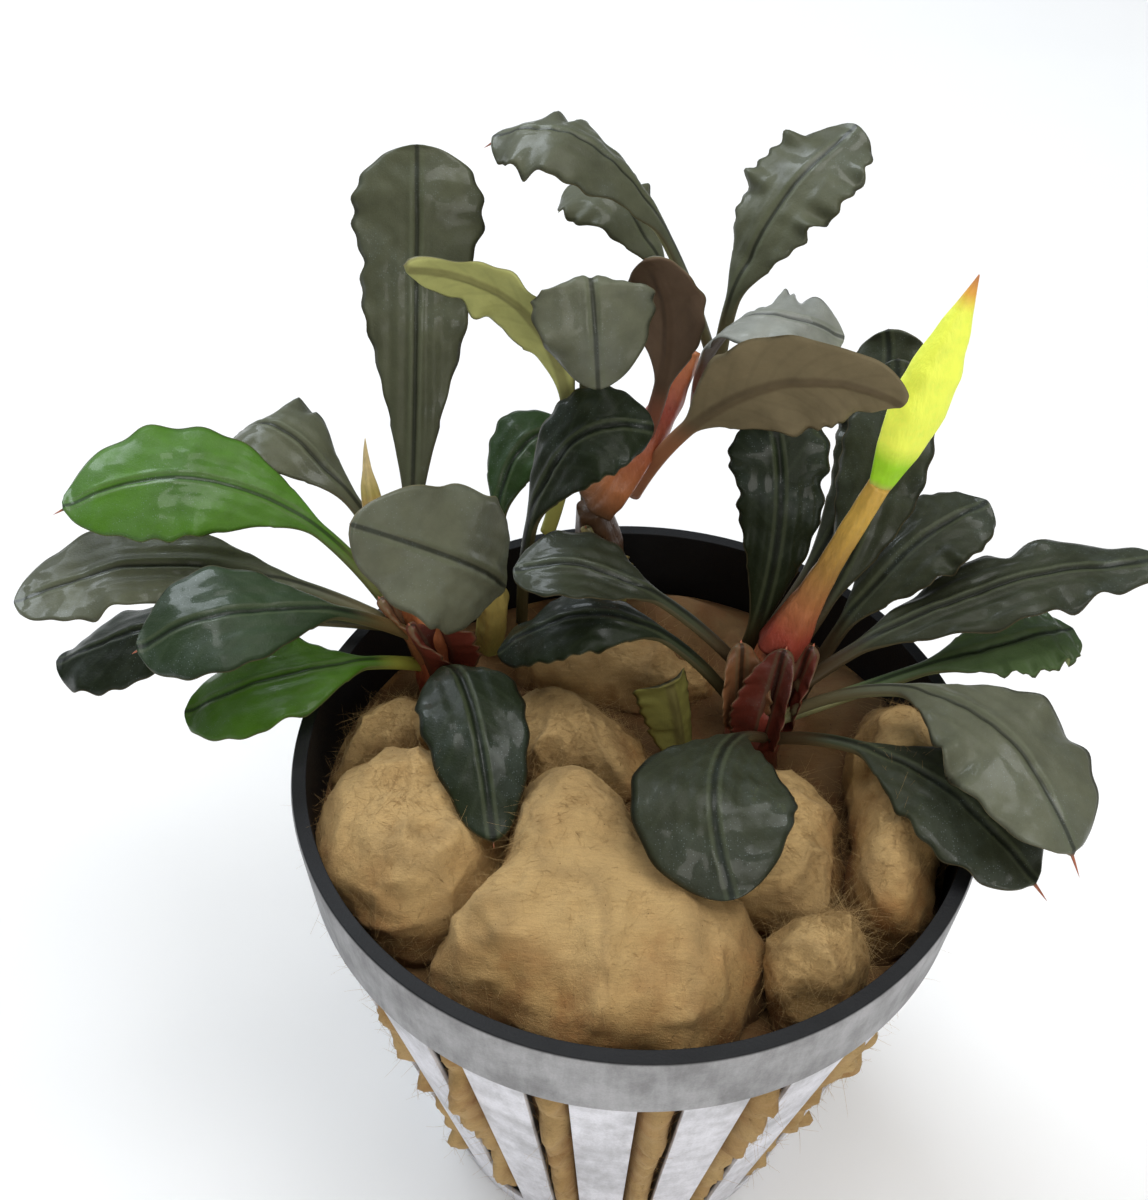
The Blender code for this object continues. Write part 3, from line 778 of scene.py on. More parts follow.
for n, (grid, normals) in enumerate(wad_surfaces):
    loose = threads_on(grid, normals, THREADS_PER_WAD, 60 + n, (6, WAD_ROWS - 2))
    add_piece(WADS[n].name + "_threads", loose, rockwool)
side_normals = grid_normals(plug_side)
outer_part = np.linalg.norm(plug_side[..., :2], axis=-1)
bulging = outer_part > wall_radius(plug_side[..., 2]) - 0.5
i, j = np.nonzero(bulging)
pick = np.random.default_rng(91).integers(0, len(i), SLOT_THREADS)
slot_roots = plug_side[i[pick], j[pick]]
slot_normals = side_normals[i[pick], j[pick]]
slot_lengths = np.random.default_rng(92).uniform(0.5, 1.5, SLOT_THREADS)
slot_shape = thread_shape(slot_roots, slot_normals, slot_lengths, 0.014, 0.3, 93)
add_piece("slot_threads", slot_shape, rockwool)

# %% [markdown]
# ## Leaves
#
# A leaf grew as one piece: a stalk that opens into a blade, with a sunken midrib between two low
# ridges, wavy margins and a small point at the tip. All of them are one function of two
# parameters, t along the midrib and u across the blade, from -1 at the left margin to 1 at the
# right one. Each leaf's row in the table says where its foot, the middle of its midrib and its tip
# are, and then how it differs from the others.

# %% The leaf table
Colours = namedtuple("Colours", "upper lower stalk")
DARK = Colours((0.030, 0.035, 0.019), (0.095, 0.080, 0.034), (0.060, 0.038, 0.018))
DEEP = Colours((0.012, 0.018, 0.007), (0.070, 0.085, 0.028), (0.050, 0.040, 0.016))
FERN = Colours((0.020, 0.045, 0.010), (0.07, 0.11, 0.03), (0.08, 0.08, 0.02))
POND = Colours((0.024, 0.042, 0.018), (0.07, 0.11, 0.03), (0.12, 0.08, 0.03))
SMOKE = Colours((0.080, 0.086, 0.050), (0.15, 0.14, 0.07), (0.07, 0.05, 0.025))
# GREY and SAGE are partly the leaves' own grey-green and partly a painted grey haze of sheen, laid into the upper
# colour
GREY = Colours((0.112, 0.118, 0.078), (0.20, 0.21, 0.11), (0.12, 0.10, 0.05))
SAGE = Colours((0.088, 0.094, 0.058), (0.26, 0.27, 0.12), (0.14, 0.12, 0.06))
GREEN = Colours((0.065, 0.165, 0.016), (0.16, 0.24, 0.04), (0.12, 0.12, 0.04))
MOSS = Colours((0.050, 0.125, 0.008), (0.16, 0.26, 0.03), (0.36, 0.36, 0.06))
LIGHT = Colours((0.080, 0.130, 0.048), (0.26, 0.32, 0.12), (0.26, 0.26, 0.12))
OLIVE = Colours((0.090, 0.090, 0.050), (0.205, 0.165, 0.092), (0.42, 0.17, 0.08))
YELLOW = Colours((0.120, 0.130, 0.060), (0.46, 0.47, 0.17), (0.50, 0.50, 0.13))
BROWN = Colours((0.260, 0.270, 0.240), (0.120, 0.078, 0.050), (0.24, 0.09, 0.055))

LEAF_FIELDS = (
    "name base middle tip width widest stalk roll colours "
    "cup ruffle waves notch curl twist opening cusp root waist folds"
)
LEAF_DEFAULTS = (-0.08, 0.45, 3.5, 0.03, 0.8, 0.0, 1.15, 0.12, 1.8, 0.0, 0.05)
Leaf = namedtuple("Leaf", LEAF_FIELDS, defaults=LEAF_DEFAULTS)

LEAVES = (
    Leaf("left_tall_leaf", (-17.3, 12.6, 51.6), (-17, 22.5, 66), (-17, 30.5, 77), 9.8, 0.8, 0.05, 0, SMOKE,
         opening=1.35, ruffle=0.3, waves=5, curl=0.3, waist=0.13, folds=0.09),
    Leaf("left_back_leaf", (-18.4, 15.0, 48.4), (-26.5, 20, 57.5), (-32.5, 24, 55), 8.8, 0.62, 0.2, 0, SAGE,
         ruffle=0.5, waves=2.5, cup=-0.2),
    Leaf("left_bright_leaf", (-20, 12, 49.4), (-30.5, 14.5, 57.5), (-43, 12.5, 57), 9.6, 0.62, 0.2, -25, GREEN,
         ruffle=0.35, waves=2.6, cusp=0.9, cup=-0.14),
    Leaf("left_grey_leaf", (-19.4, 10.8, 47.2), (-34, 12, 51.5), (-47.5, 9.5, 50), 9.0, 0.66, 0.2, -5, SAGE,
         ruffle=0.4, waves=3, cup=0.05, folds=0.1),
    Leaf("left_dark_leaf", (-18.7, 9.0, 48.4), (-27, 4.5, 54.5), (-36, 2, 53), 9.2, 0.6, 0.2, -10, POND,
         ruffle=0.12, waves=2, cusp=0.7),
    Leaf("left_low_leaf", (-18.9, 11.9, 45.6), (-34, 11.5, 46), (-46.5, 11, 42), 9.0, 0.7, 0.25, 0, DEEP,
         ruffle=0.25, waves=3, cup=-0.28),
    Leaf("left_green_leaf", (-17.8, 9.0, 44.4), (-25, 5, 47.5), (-34.5, 4, 44), 9.0, 0.58, 0.2, 0, MOSS,
         ruffle=0.35, waves=2.5),
    Leaf("left_front_leaf", (-15.2, 7.8, 43.8), (-12.5, 2, 49), (-10, -9, 46), 7.8, 0.5, 0.1, 0, DEEP,
         ruffle=0.12, waves=2.5, cup=-0.16, cusp=0.35),
    Leaf("near_leaf", (-11.4, 13.4, 48), (-11.2, 5.2, 57.9), (-19, 0.6, 66), 10.0, 0.5, 0.2, -85, GREY,
         ruffle=0.45, waves=2.2, cup=-0.05),
    Leaf("inner_dark_leaf", (-9, 15.8, 45.6), (-6, 15, 60.5), (1, 16, 62.5), 7.6, 0.55, 0.2, 30, DEEP,
         ruffle=0.2, waves=3),
    Leaf("inner_back_leaf", (-11.2, 17.4, 45.8), (-10, 23.5, 53), (-5.5, 26, 55), 6.4, 0.6, 0.2, 0, FERN,
         ruffle=0.2, waves=3),
    Leaf("back_yellow_leaf", (-6.5, 20.9, 50.4), (-6.9, 20.5, 66.5), (-17, 19.5, 74.2), 5.2, 0.6, 0.3, 70, YELLOW,
         ruffle=0.5, waves=3.2, cup=-0.2),
    Leaf("back_near_leaf", (-3.9, 23, 52), (-4.2, 17.4, 73.5), (-3.4, 13.4, 67.5), 8.5, 0.6, 0.45, 0, GREY,
         ruffle=0.7, waves=2.4, cup=-0.15, root=3),
    Leaf("back_top_leaf", (4.6, 25.6, 64.9), (-3, 25, 79), (-11.5, 28.5, 79), 8.4, 0.58, 0.2, 0, SAGE,
         ruffle=0.5, waves=3.3, cusp=1.4, cup=-0.3),
    Leaf("back_far_leaf", (3, 27.4, 62.4), (-1, 30, 72), (-6, 34.5, 72), 8.0, 0.65, 0.2, 0, SAGE,
         ruffle=0.5, waves=3, cup=-0.2),
    Leaf("back_brown_leaf", (0.9, 20.2, 60.4), (1.6, 19.2, 69), (0, 20, 74.5), 6.0, 0.6, 0.15, 55, BROWN,
         ruffle=0.2, waves=2.5, root=3),
    Leaf("back_right_leaf", (6.2, 25.4, 63.8), (9, 28, 72.5), (15.5, 33.5, 78), 8.6, 0.68, 0.15, 0, SAGE,
         ruffle=0.55, waves=4.5, notch=0.05),
    Leaf("back_curled_leaf", (4.4, 22.1, 62.6), (6.7, 16, 72.1), (13.5, 14.6, 71.7), 7.2, 0.6, 0.1, 0, BROWN,
         ruffle=0.8, waves=3, root=3),
    Leaf("back_olive_leaf", (2, 18.8, 58.4), (8, 10.6, 70.4), (16.5, 8.3, 71.7), 8.4, 0.5, 0.12, -75, OLIVE,
         ruffle=0.35, waves=3, root=6),
    Leaf("right_inner_leaf", (7, 8.6, 46.6), (-1.5, 10, 53), (-9.6, 10.8, 53.2), 7.4, 0.58, 0.3, 0, DARK,
         ruffle=0.2, waves=2, cup=0.1, folds=0.1, root=2.5),
    Leaf("right_arching_leaf", (6.9, 7.6, 43.6), (-2, 9, 50), (-11, 9.5, 45.5), 7.4, 0.58, 0.25, 0, DEEP,
         ruffle=0.3, waves=3.5, cup=-0.2),
    Leaf("right_front_leaf", (9.2, 3, 43.4), (5, -6.5, 50.5), (6, -14.5, 47), 11.2, 0.55, 0.12, 0, DARK,
         ruffle=0.12, waves=2.5, notch=0.015, folds=0.1),
    Leaf("right_upright_leaf", (8.8, 10.1, 46), (10, 10.7, 57.4), (9, 14.2, 65.4), 7.2, 0.82, 0.05, 0, DEEP,
         opening=1.1, ruffle=0.3, waves=4, waist=0.13, folds=0.16),
    Leaf("right_behind_leaf", (13.4, 10.6, 47.4), (17.5, 15, 57), (19, 22, 65), 6.8, 0.62, 0.1, 0, DARK,
         ruffle=0.3, waves=4, root=4),
    Leaf("right_far_leaf", (11.4, 12.6, 46.6), (18, 21, 56), (19, 27, 64), 7.2, 0.74, 0.1, 0, DARK,
         ruffle=0.45, waves=5, root=4),
    Leaf("right_grey_leaf", (14.8, 9.8, 45.6), (20, 12.5, 53.6), (26.5, 16, 56.5), 7.6, 0.62, 0.1, 0, DARK,
         ruffle=0.35, waves=4, folds=0.1, root=3.5),
    Leaf("right_long_leaf", (14, 6.4, 47.2), (25.5, 9.5, 52.7), (39.5, 12, 54.5), 7.2, 0.5, 0.1, 0, DARK,
         ruffle=0.65, waves=3.5, folds=0.1, root=2.5),
    Leaf("right_light_leaf", (13, 5.2, 44.2), (26, 8, 48), (34, 11, 48), 6.8, 0.58, 0.3, 0, LIGHT,
         ruffle=0.55, waves=6),
    Leaf("right_large_leaf", (13.6, 4, 46.4), (22.5, -2, 52.5), (28.5, -12, 50), 10.4, 0.6, 0.25, 0, GREY,
         ruffle=0.7, waves=2.8, cusp=1.4, folds=0.08),
    Leaf("right_under_leaf", (11.9, 2.6, 43.8), (19.5, -4, 48), (27, -11.5, 46), 8.8, 0.6, 0.25, 0, DARK,
         ruffle=0.4, waves=3, cusp=1.4),
)
print(len(LEAVES), "leaves")

# %% [markdown]
# Every leaf starts from its midrib, a parabola through three points. The direction across the
# blade is kept level wherever the midrib goes, so the blade doesn't twist by itself, and then the
# leaf's own roll turns it. The half width opens along a stalk and closes in a round end. The cusp
# is the part past the end, a fine point that the midrib grows into.

# %% Shape the midrib and the outline
LEAF_ROWS = 100
LEAF_HALF = 36
STALK_HALF_WIDTH = 0.62
STALK_HALF_THICKNESS = 0.42
BLADE_HALF_THICKNESS = 0.15
WAIST_PLACE = 0.66
WAIST_REACH = 0.055


def midrib(leaf, t):
    """Places (1-t)^2 a + 2t(1-t) p + t^2 c, and the directions along, across and out of the blade."""
    base, middle, tip = (np.array(p, float) for p in (leaf.base, leaf.middle, leaf.tip))
    pull = 2 * middle - (base + tip) / 2
    place = (1 - t) ** 2 * base + 2 * t * (1 - t) * pull + t ** 2 * tip
    along = unit(2 * (1 - t) * (pull - base) + 2 * t * (tip - pull))
    level = unit(np.cross(tip - base, UP))
    across = unit(level - np.sum(level * along, axis=1, keepdims=True) * along)
    above = np.cross(across, along)
    turn = np.radians(leaf.roll + leaf.twist * t)
    normal = np.cos(turn) * above + np.sin(turn) * across
    return place, np.cross(along, normal), normal


def half_widths(leaf, t, scallop, spread, end):
    """A stalk, then a blade that opens as sin^p to its widest, closes as a circle and has a waist."""
    s = np.clip((t - leaf.stalk) / (1 - leaf.stalk), 0.0, 1.0)
    opening = np.sin(np.minimum(s / leaf.widest, 1.0) * pi / 2) ** leaf.opening
    past = np.clip((s - leaf.widest) / (1 - leaf.widest), 0.0, 1.0)
    waist = 1 - leaf.waist * np.exp(-(((s - WAIST_PLACE) / WAIST_REACH) ** 2))
    blade = leaf.width / 2 * opening * np.sqrt(1 - past ** 2) * waist
    stalk = STALK_HALF_WIDTH * (1 - ease(t, 0.6, 0.95))
    half = np.sqrt(blade ** 2 + stalk ** 2 * (blade < STALK_HALF_WIDTH * 3) + 1e-9)
    point = 0.26 * np.clip((end - t) / (end - 0.94), 0, 1) ** 0.8 * ease(t, 0.85, 0.97)
    return np.sqrt((half * (1 + leaf.notch * spread * scallop)) ** 2 * (t < 1) + point ** 2)


# %% [markdown]
# The rest is built up in layers, each a line of numpy that lifts the points off the flat blade.
# The margins swing up and down more the further out they are, which is what a real blade does when
# its edge has grown longer than its middle, and no two swings are alike. Long folds run beside the
# midrib and die out towards the tip, and slow noise keeps the skin from being too even, which is
# what breaks its shine into patches.

# %% Shape a leaf
def margin_waves(leaf, s, phase):
    """For each margin, the sum of three sines whose lengths don't divide into each other."""
    swing = 2 * pi * leaf.waves * s
    swell = 0.75 + 0.45 * np.sin(0.61 * swing + phase[6])
    left = np.sin(swing + phase[0]) + 0.5 * np.sin(1.83 * swing + phase[1])
    right = np.sin(1.17 * swing + phase[2]) + 0.5 * np.sin(2.07 * swing + phase[3])
    scallops = np.sin(2.7 * swing + phase[4]), np.sin(2.3 * swing + phase[5])
    return swell * left, swell * right, scallops


def leaf_shape(leaf, seed):
    """Rows run from the foot to the tip and columns once round the section."""
    spine = np.array([leaf.base, leaf.middle, leaf.tip], float)
    length = np.sum(np.linalg.norm(np.diff(spine, axis=0), axis=1))
    start = -leaf.root / length
    end = 1 + leaf.cusp / length
    t = (start + (end - start) * (1 - (1 - np.linspace(0, 1, LEAF_ROWS)) ** 1.35))[:, None]
    place, side, normal = midrib(leaf, t)
    phase = np.random.default_rng(seed).uniform(0, 2 * pi, 8)
    k = np.arange(2 * LEAF_HALF)
    x = np.where(k <= LEAF_HALF, 2 * k / LEAF_HALF - 1, 3 - 2 * k / LEAF_HALF)
    u = (0.5 * x + 0.5 * x ** 3)[None, :]
    upper = np.where(k == 0, 0.0, np.where(k < LEAF_HALF, 1.0, np.where(k == LEAF_HALF, 0.0, -1.0)))[None, :]
    right = ease(u, -0.3, 0.3)

    s = np.clip((t - leaf.stalk) / (1 - leaf.stalk), 0.0, 1.0)
    spread = ease(s, 0.08, 0.5)
    left_wave, right_wave, scallops = margin_waves(leaf, s, phase)
    scallop = (1 - right) * scallops[0] + right * scallops[1]
    half = half_widths(leaf, t, scallop, spread, end)
    reach = u * half
    away = np.abs(reach)
    open_blade = ease(half, STALK_HALF_WIDTH, 2.2)

    wave = (1 - right) * left_wave + right * right_wave
    lift = leaf.cup * half * np.abs(u) ** 1.7 * open_blade
    lift = lift + leaf.ruffle * spread * (half / (leaf.width / 2)) * np.abs(u) ** 2.4 * wave
    lift = lift - leaf.curl * ease(t, 0.55, 1.1) ** 1.5
    skin = np.dstack([reach + 9.0, length * t + 0.0 * reach, 0.0 * reach + seed])
    lift = lift + open_blade * (0.5 * (noise(skin, 0.3, seed) - 0.5) + 0.16 * (noise(skin, 0.9, seed + 1) - 0.5))
    lift = lift + leaf.folds * np.cos(2 * pi * away / 1.25 + phase[7]) * open_blade * (1 - ease(s, 0.35, 0.9))
    rib = open_blade * (1 - ease(s, 0.75, 1.0))
    groove = 0.09 * np.exp(-(((away - 0.5) / 0.22) ** 2)) - 0.16 * np.exp(-((away / 0.22) ** 2))
    keel = 0.26 * np.exp(-((away / 0.42) ** 2))
    veins = 0.012 * np.sin(2 * pi * (length * t - 1.4 * away) / 2.3) * open_blade * (1 - u ** 2)
    thick = STALK_HALF_THICKNESS + open_blade * (BLADE_HALF_THICKNESS - STALK_HALF_THICKNESS)
    thick = np.minimum(thick, 0.8 * half) * np.sqrt(1 - np.abs(u) ** (2 + 2 * open_blade))
    lift = lift + veins + rib * np.where(upper > 0, groove, -keel) * (upper != 0) + upper * thick
    grid = place[:, None] + reach[..., None] * side[:, None] + lift[..., None] * normal[:, None]

    full = np.ones(lift.shape)
    luck = np.random.default_rng(seed + 50).random()
    values = {
        "leaf_place": np.dstack([reach, length * t * full, 0.5 + 0.5 * upper * full]),
        "leaf_edge": np.dstack([(1 - np.abs(u)) * half, t * full, full * luck]),
        "leaf_upper": full[..., None] * np.array(leaf.colours.upper),
        "leaf_lower": full[..., None] * np.array(leaf.colours.lower),
        "leaf_stalk": full[..., None] * np.array(leaf.colours.stalk),
    }
    return closed_grid(grid, values)


# %% [markdown]
# The skin is dark and waxy above and paler or browner beneath. Close up it glitters, which is what
# makes this plant prized: here the glints are painted highlights, tiny pale blue-grey dots in the
# colour, more of them in the patches where the coat shines, and those patches also get a painted
# pale sheen. The sunken midrib is painted dark, as painted shade, and the low ridges beside it
# paler, as painted highlights. The margin is a thin brown line, and the point at the tip is rose
# red. Everything that follows the blade reads the values that the shape carried along, and only
# the fine grain is noise in space.

# %% Finish the leaves
def leaf_finish():
    finish = Finish("leaf_skin")
    reach, along, upper = finish.split(finish.attribute("leaf_place"))
    edge, share, luck = finish.split(finish.attribute("leaf_edge"))
    away = abs(reach)
    broad = finish.noise(0.16, 3.0, 0.6)
    mottle = finish.noise(1.1, 4.0, 0.6)
    grain = finish.noise(7.0, 3.0, 0.6)
    painted_glints = finish.dots(6.5, 0.32, 0.62)
    sheen_patch = finish.step(finish.noise(0.24, 3.0, 0.6) + 0.25 * share, 0.62, 0.8)
    top = finish.scale(finish.attribute("leaf_upper"), 0.35 + 0.9 * broad + 0.4 * mottle)
    under = finish.scale(finish.attribute("leaf_lower"), 0.6 + 0.5 * broad + 0.3 * mottle)
    slant = along - 1.4 * away
    vein = finish.step(slant.math("SINE", slant * (2 * pi / 2.3)), 0.5, 1.0)
    fade = finish.step(edge, 0.1, 1.2)
    top = finish.mix(vein * fade * 0.04, top, (0.13, 0.16, 0.10))
    # painted shade: the sunken midrib is painted nearly black
    top = finish.mix(finish.step(away, 0.24, 0.08) * 0.7, top, (0.005, 0.007, 0.004))
    # painted highlight: the low ridges beside the midrib are painted paler
    top = finish.mix(finish.step(away, 0.2, 0.34) * finish.step(away, 0.62, 0.44) * 0.25, top, (0.11, 0.13, 0.07))
    # painted highlights: pale blue-grey glints in tiny dots, more of them in the sheen patches
    top = finish.mix(painted_glints * (0.05 + 0.25 * sheen_patch), top, (0.30, 0.36, 0.36))
    # painted sheen: a pale blue-grey cast over the sheen patches, which also get the clear coat
    top = finish.mix(sheen_patch * mottle * 0.14, top, (0.15, 0.19, 0.19))
    under = finish.mix(finish.step(away, 0.6, 0.25) * 0.45, under, (0.06, 0.035, 0.02))
    under = finish.mix(vein * fade * 0.08, under, (0.05, 0.032, 0.02))
    colour = finish.mix(finish.step(upper, 0.4, 0.6), under, top)
    colour = finish.mix(finish.step(edge, 0.14, 0.03) * 0.5, colour, (0.15, 0.12, 0.06))
    stalk = finish.attribute("leaf_stalk")
    colour = finish.mix(finish.step(share, 0.2, 0.02) * 0.85, colour, stalk)
    colour = finish.mix(finish.step(share, 1.0, 1.015), colour, (0.42, 0.14, 0.08))
    roughness = 0.27 + 0.16 * broad + 0.12 * mottle + 0.1 * grain + (1.0 - upper) * 0.25
    relief = 0.5 * grain + 0.5 * finish.noise(2.4, 3.0, 0.6)
    return finish.surface(
        Base_Color=colour, Roughness=roughness, Specular_IOR_Level=0.17,
        Coat_Weight=(0.02 + 0.34 * sheen_patch) * upper, Coat_Roughness=0.1, Normal=finish.bump(relief, 0.05),
    )


leaf_skin = leaf_finish()
for number, leaf in enumerate(LEAVES):
    add_piece(leaf.name + "_blade", leaf_shape(leaf, 100 + 3 * number), leaf_skin, (leaf.name,))

# %% [markdown]
# Each crown is wrapped in sheaths, the dry scales that a new leaf pushes open as it grows. A sheath
# is a short, wide leaf whose margins fold strongly inwards, so the same shape makes it, only with a
# cup ten times as deep. The leaf that was cut to a stub is made in that way too: its fold stands
# open towards the front, with two horns where the blade used to go on.

# %% Sheaths and the cut leaf
SHEATH_RED = Colours((0.10, 0.02, 0.012), (0.15, 0.030, 0.017), (0.12, 0.024, 0.015))
SHEATH_RUST = Colours((0.16, 0.07, 0.03), (0.26, 0.10, 0.04), (0.20, 0.06, 0.03))
SHEATH_PALE = Colours((0.30, 0.26, 0.10), (0.46, 0.38, 0.14), (0.26, 0.15, 0.06))
STUB_GREEN = Colours((0.030, 0.034, 0.012), (0.19, 0.18, 0.045), (0.12, 0.09, 0.03))
SHEATHS = (
    Leaf("left_sheath_front", (-15.2, 8.6, 41.5), (-16, 8.4, 45.5), (-17.2, 8.2, 49.4), 3.6, 0.4, 0.0, 0, SHEATH_RED),
    Leaf("left_sheath_side", (-17, 10.4, 42.5), (-18, 10.2, 46.5), (-19.6, 10.2, 50.2), 3.2, 0.4, 0.0, 0, SHEATH_RUST),
    Leaf("left_sheath_right", (-14.2, 9.8, 42), (-14.4, 9.4, 46.5), (-15.2, 9, 50.4), 3.2, 0.4, 0.0, 0, SHEATH_RED),
    Leaf("back_sheath_front", (-2.6, 18.8, 42), (-3, 18.3, 46.5), (-4, 17.9, 51), 3.8, 0.4, 0.0, 0, SHEATH_PALE),
    Leaf("right_sheath_front", (9.6, 3.9, 41), (10.2, 4.9, 45.2), (11, 6.2, 49.6), 4.2, 0.4, 0.0, 0, SHEATH_RED),
    Leaf("right_sheath_left", (8.2, 5.2, 41.6), (8, 6.2, 45.4), (7.8, 7.4, 49), 3.6, 0.4, 0.0, 0, SHEATH_RUST),
    Leaf("right_sheath_right", (11.4, 5.4, 41.6), (12.2, 6.2, 45.4), (13.2, 7.2, 49), 3.4, 0.4, 0.0, 0, SHEATH_RED),
)
CUT_LEAF = Leaf("cut_leaf", (3.7, 3.5, 39.2), (3.3, 4.4, 42.8), (2.5, 5.6, 46.4), 4.6, 0.97, 0.0, 180, STUB_GREEN,
                cup=0.7, opening=0.6, root=0.5, cusp=0.02, ruffle=0.1, curl=0.0, folds=0.0)
for number, sheath in enumerate(SHEATHS):
    wrapped = sheath._replace(cup=1.15, opening=0.5, root=0.5, cusp=0.3, ruffle=0.2, curl=0.0, folds=0.06)
    add_piece(sheath.name, leaf_shape(wrapped, 300 + 3 * number), leaf_skin)
add_piece("cut_stub", leaf_shape(CUT_LEAF, 350), leaf_skin, ("cut_leaf_stub",))

# %% [markdown]
# ## Stems, stalks and the spathe
#
# The creeping stems, the bud, the flower stalk and the spathe are fleshy tubes. Each follows an
# arc through three points, like a leaf's midrib, and its radius and its colour are read from a
# short list of stops along it. Low ridges run along it, and noise makes it uneven.

# %% Shape a stem
STEM_ROWS = 70
STEM_COLUMNS = 40
Stem = namedtuple("Stem", "name path radii colours ridge lump flat", defaults=(0.06, 0.12, 1.0))


def stem_shape(stem, seed):
    """A circle carried along an arc: radius times (1 + ridges + noise), flattened if asked."""
    base, middle, tip = (np.array(p, float) for p in stem.path)
    pull = 2 * middle - (base + tip) / 2
    t = np.linspace(0, 1, STEM_ROWS)[:, None]
    place = (1 - t) ** 2 * base + 2 * t * (1 - t) * pull + t ** 2 * tip
    along = unit(2 * (1 - t) * (pull - base) + 2 * t * (tip - pull))
    side = unit(np.cross(along, np.array([0.0, 1.0, 0.0])))
    other = np.cross(along, side)
    stops = np.array(stem.radii, float)
    radius = np.interp(t[:, 0], stops[:, 0], stops[:, 1])[:, None]
    radius = radius * np.ones((1, STEM_COLUMNS))
    a = (2 * pi * np.arange(STEM_COLUMNS) / STEM_COLUMNS)[None, :]
    circle = place[:, None] + radius[..., None] * (
        np.cos(a)[..., None] * side[:, None] + np.sin(a)[..., None] * other[:, None])
    uneven = stem.ridge * np.sin(5 * a + 3 * t + seed) + stem.lump * 2 * (noise(circle, 0.8, seed) - 0.5)
    radius = radius * (1 + uneven)
    grid = place[:, None] + radius[..., None] * (
        np.cos(a)[..., None] * side[:, None] + stem.flat * np.sin(a)[..., None] * other[:, None])
    stops = np.array([(p, *c) for p, c in stem.colours], float)
    tone = np.stack([np.interp(t[:, 0], stops[:, 0], stops[:, n]) for n in (1, 2, 3)], axis=-1)
    return closed_grid(grid, {"stem_colour": np.repeat(tone[:, None], STEM_COLUMNS, axis=1)})


# %% [markdown]
# Living stem is a little glossy and never one even colour, so the colour that the shape carries
# is mottled at two scales, and fine grain breaks up the highlights.

# %% Finish and place the stems
def stem_finish(name, roughness, grain_share, painted_glow=0.0):
    finish = Finish(name)
    tone = finish.attribute("stem_colour")
    mottle = finish.noise(1.2, 4.0, 0.6)
    threads = finish.noise(4.0, 3.0, 0.6, finish.place((1.0, 1.0, 4.0)))
    colour = finish.scale(tone, 0.7 + 0.35 * mottle + grain_share * threads)
    rough = roughness + 0.25 * mottle
    # painted light: this makes the surface give off light in its own colour; only the spathe uses it
    return finish.surface(
        Base_Color=colour, Roughness=rough, Normal=finish.bump(0.5 * mottle + threads, 0.08),
        Emission_Color=colour, Emission_Strength=painted_glow,
    )


RED = (0.30, 0.050, 0.028)
WINE = (0.16, 0.028, 0.018)
RUST = (0.42, 0.15, 0.055)
STRAW = (0.42, 0.34, 0.10)
PALE = (0.66, 0.52, 0.26)
EARTH = (0.10, 0.05, 0.025)
LEAFY = (0.16, 0.17, 0.035)
HONEY = (0.38, 0.20, 0.045)
TAN = (0.62, 0.38, 0.065)
LIME = (0.80, 0.88, 0.09)
BAND = (0.30, 0.58, 0.012)
TIP = (0.70, 0.34, 0.05)

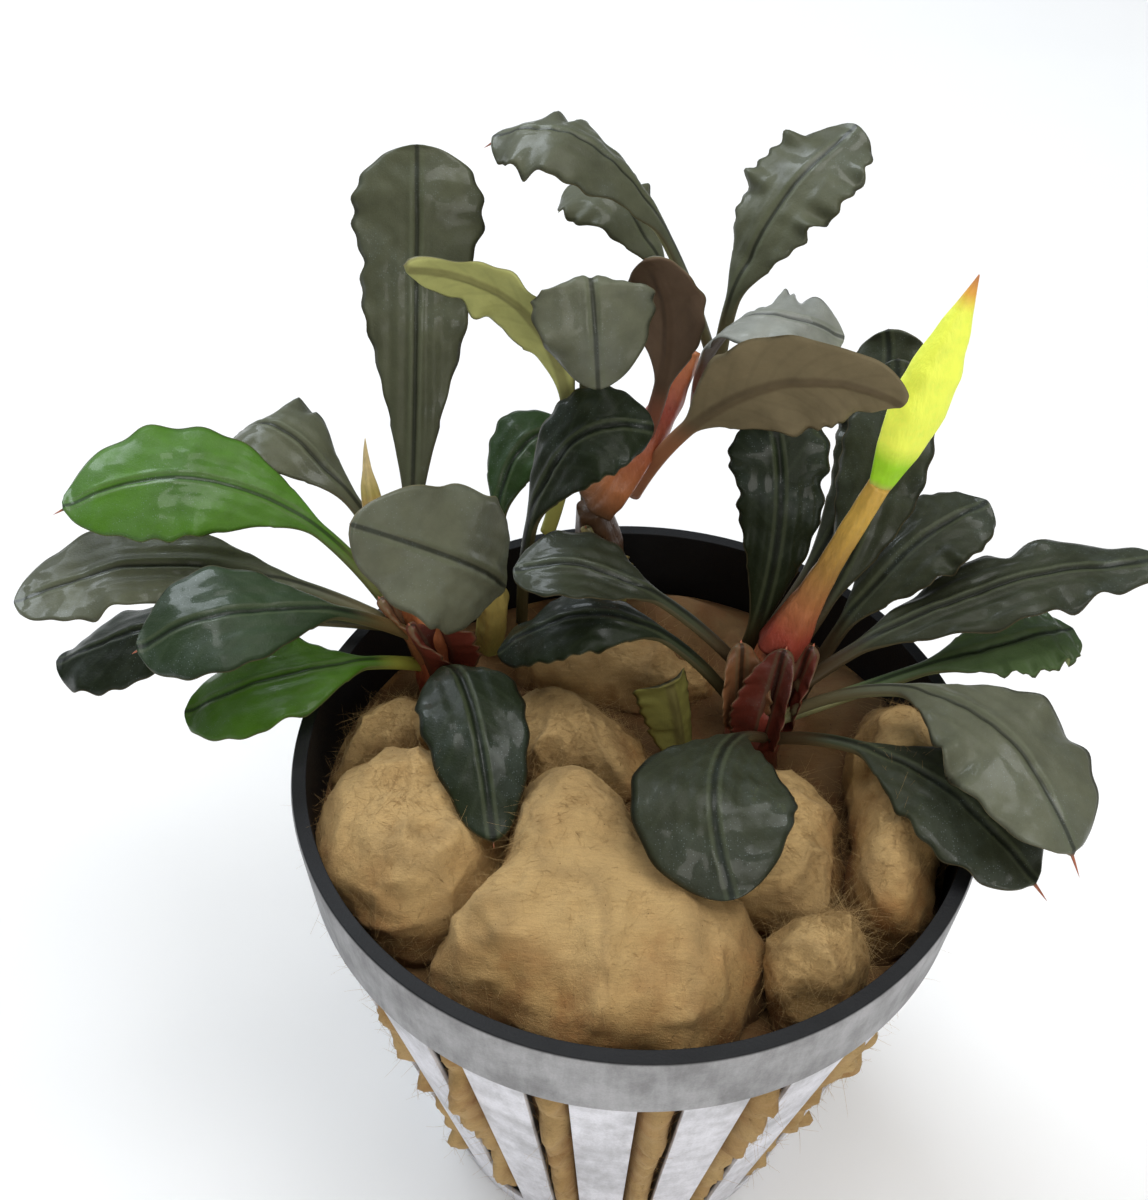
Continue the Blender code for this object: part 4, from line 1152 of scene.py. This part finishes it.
STEMS = (
    Stem("left_rhizome", ((-14.7, 10.1, 37.4), (-15.6, 10.6, 43), (-17.3, 11.8, 51.6)),
         ((0, 1.9), (0.5, 1.9), (0.85, 1.5), (1, 0.9)), ((0, WINE), (0.4, RED), (0.8, RUST), (1, RED))),
    Stem("side_shoot", ((-11.9, 15.7, 37.4), (-11.4, 15, 44), (-11.2, 14.4, 47.8)),
         ((0, 1.2), (0.7, 1.2), (1, 0.8)), ((0, LEAFY), (0.6, STRAW), (1, STRAW))),
    Stem("back_rhizome", ((-2.2, 20.6, 37.4), (-2.5, 20.5, 44), (-3.6, 19.8, 51.6)),
         ((0, 1.9), (0.55, 1.9), (0.8, 1.8), (1, 1.2)), ((0, STRAW), (0.45, LEAFY), (0.7, EARTH), (1, EARTH))),
    Stem("back_stalk", ((-3.2, 20, 51.8), (0.5, 21.3, 57.2), (4, 24, 63.8)),
         ((0, 1.7), (0.3, 1.5), (0.7, 1.2), (1, 0.5)), ((0, EARTH), (0.2, RUST), (0.7, RED), (1, RUST))),
    Stem("right_rhizome", ((9.2, 4.6, 37.4), (9.9, 6.6, 43.4), (10.7, 8.3, 48.6)),
         ((0, 2.2), (0.5, 2.2), (0.8, 1.7), (1, 1.1)), ((0, EARTH), (0.35, WINE), (0.7, RED), (1, RUST))),
)
stem_skin = stem_finish("stem_skin", 0.28, 0.45)
for number, stem in enumerate(STEMS):
    add_piece(stem.name + "_stem", stem_shape(stem, 200 + number), stem_skin, (stem.name,))

BUD = Stem("left_bud_leaf", ((-19.2, 12.8, 49), (-20.4, 15.6, 55.5), (-20.7, 17.3, 60)),
           ((0, 0.8), (0.35, 1.0), (0.6, 0.6), (0.72, 0.34), (1, 0.03)),
           ((0, RED), (0.35, RUST), (0.55, STRAW), (0.75, PALE), (1, PALE)), ridge=0.12)
STALK = Stem("flower_stalk", ((10.9, 8.1, 48), (13.5, 8.4, 56), (16.1, 8.5, 63.8)),
             ((0, 1.9), (0.12, 1.6), (0.3, 1.15), (0.5, 0.9), (1, 0.78)),
             ((0, WINE), (0.12, RED), (0.28, RUST), (0.5, HONEY), (0.8, TAN), (1, TAN)), lump=0.04)
SPATHE = Stem("spathe", ((16.1, 8.5, 63.6), (18.2, 9.6, 71), (20.3, 10.9, 79)),
              ((0, 0.8), (0.06, 1.0), (0.2, 1.5), (0.42, 1.95), (0.6, 1.75), (0.8, 1.0), (0.92, 0.4), (1, 0.05)),
              ((0, STRAW), (0.04, BAND), (0.14, BAND), (0.24, LIME), (0.85, LIME), (0.93, TIP), (1, RUST)),
              ridge=0.03, lump=0.05, flat=0.75)
add_piece("bud_leaf", stem_shape(BUD, 211), stem_skin, ("left_bud_leaf",))
add_piece("flower_stem", stem_shape(STALK, 213), stem_skin, ("flower_stalk",))
# painted light: the spathe glows at 0.3 in its own colour, as if lit from within
spathe_skin = stem_finish("spathe_skin", 0.4, 0.12, 0.3)
add_piece("spathe_hood", stem_shape(SPATHE, 214), spathe_skin, ("spathe",))
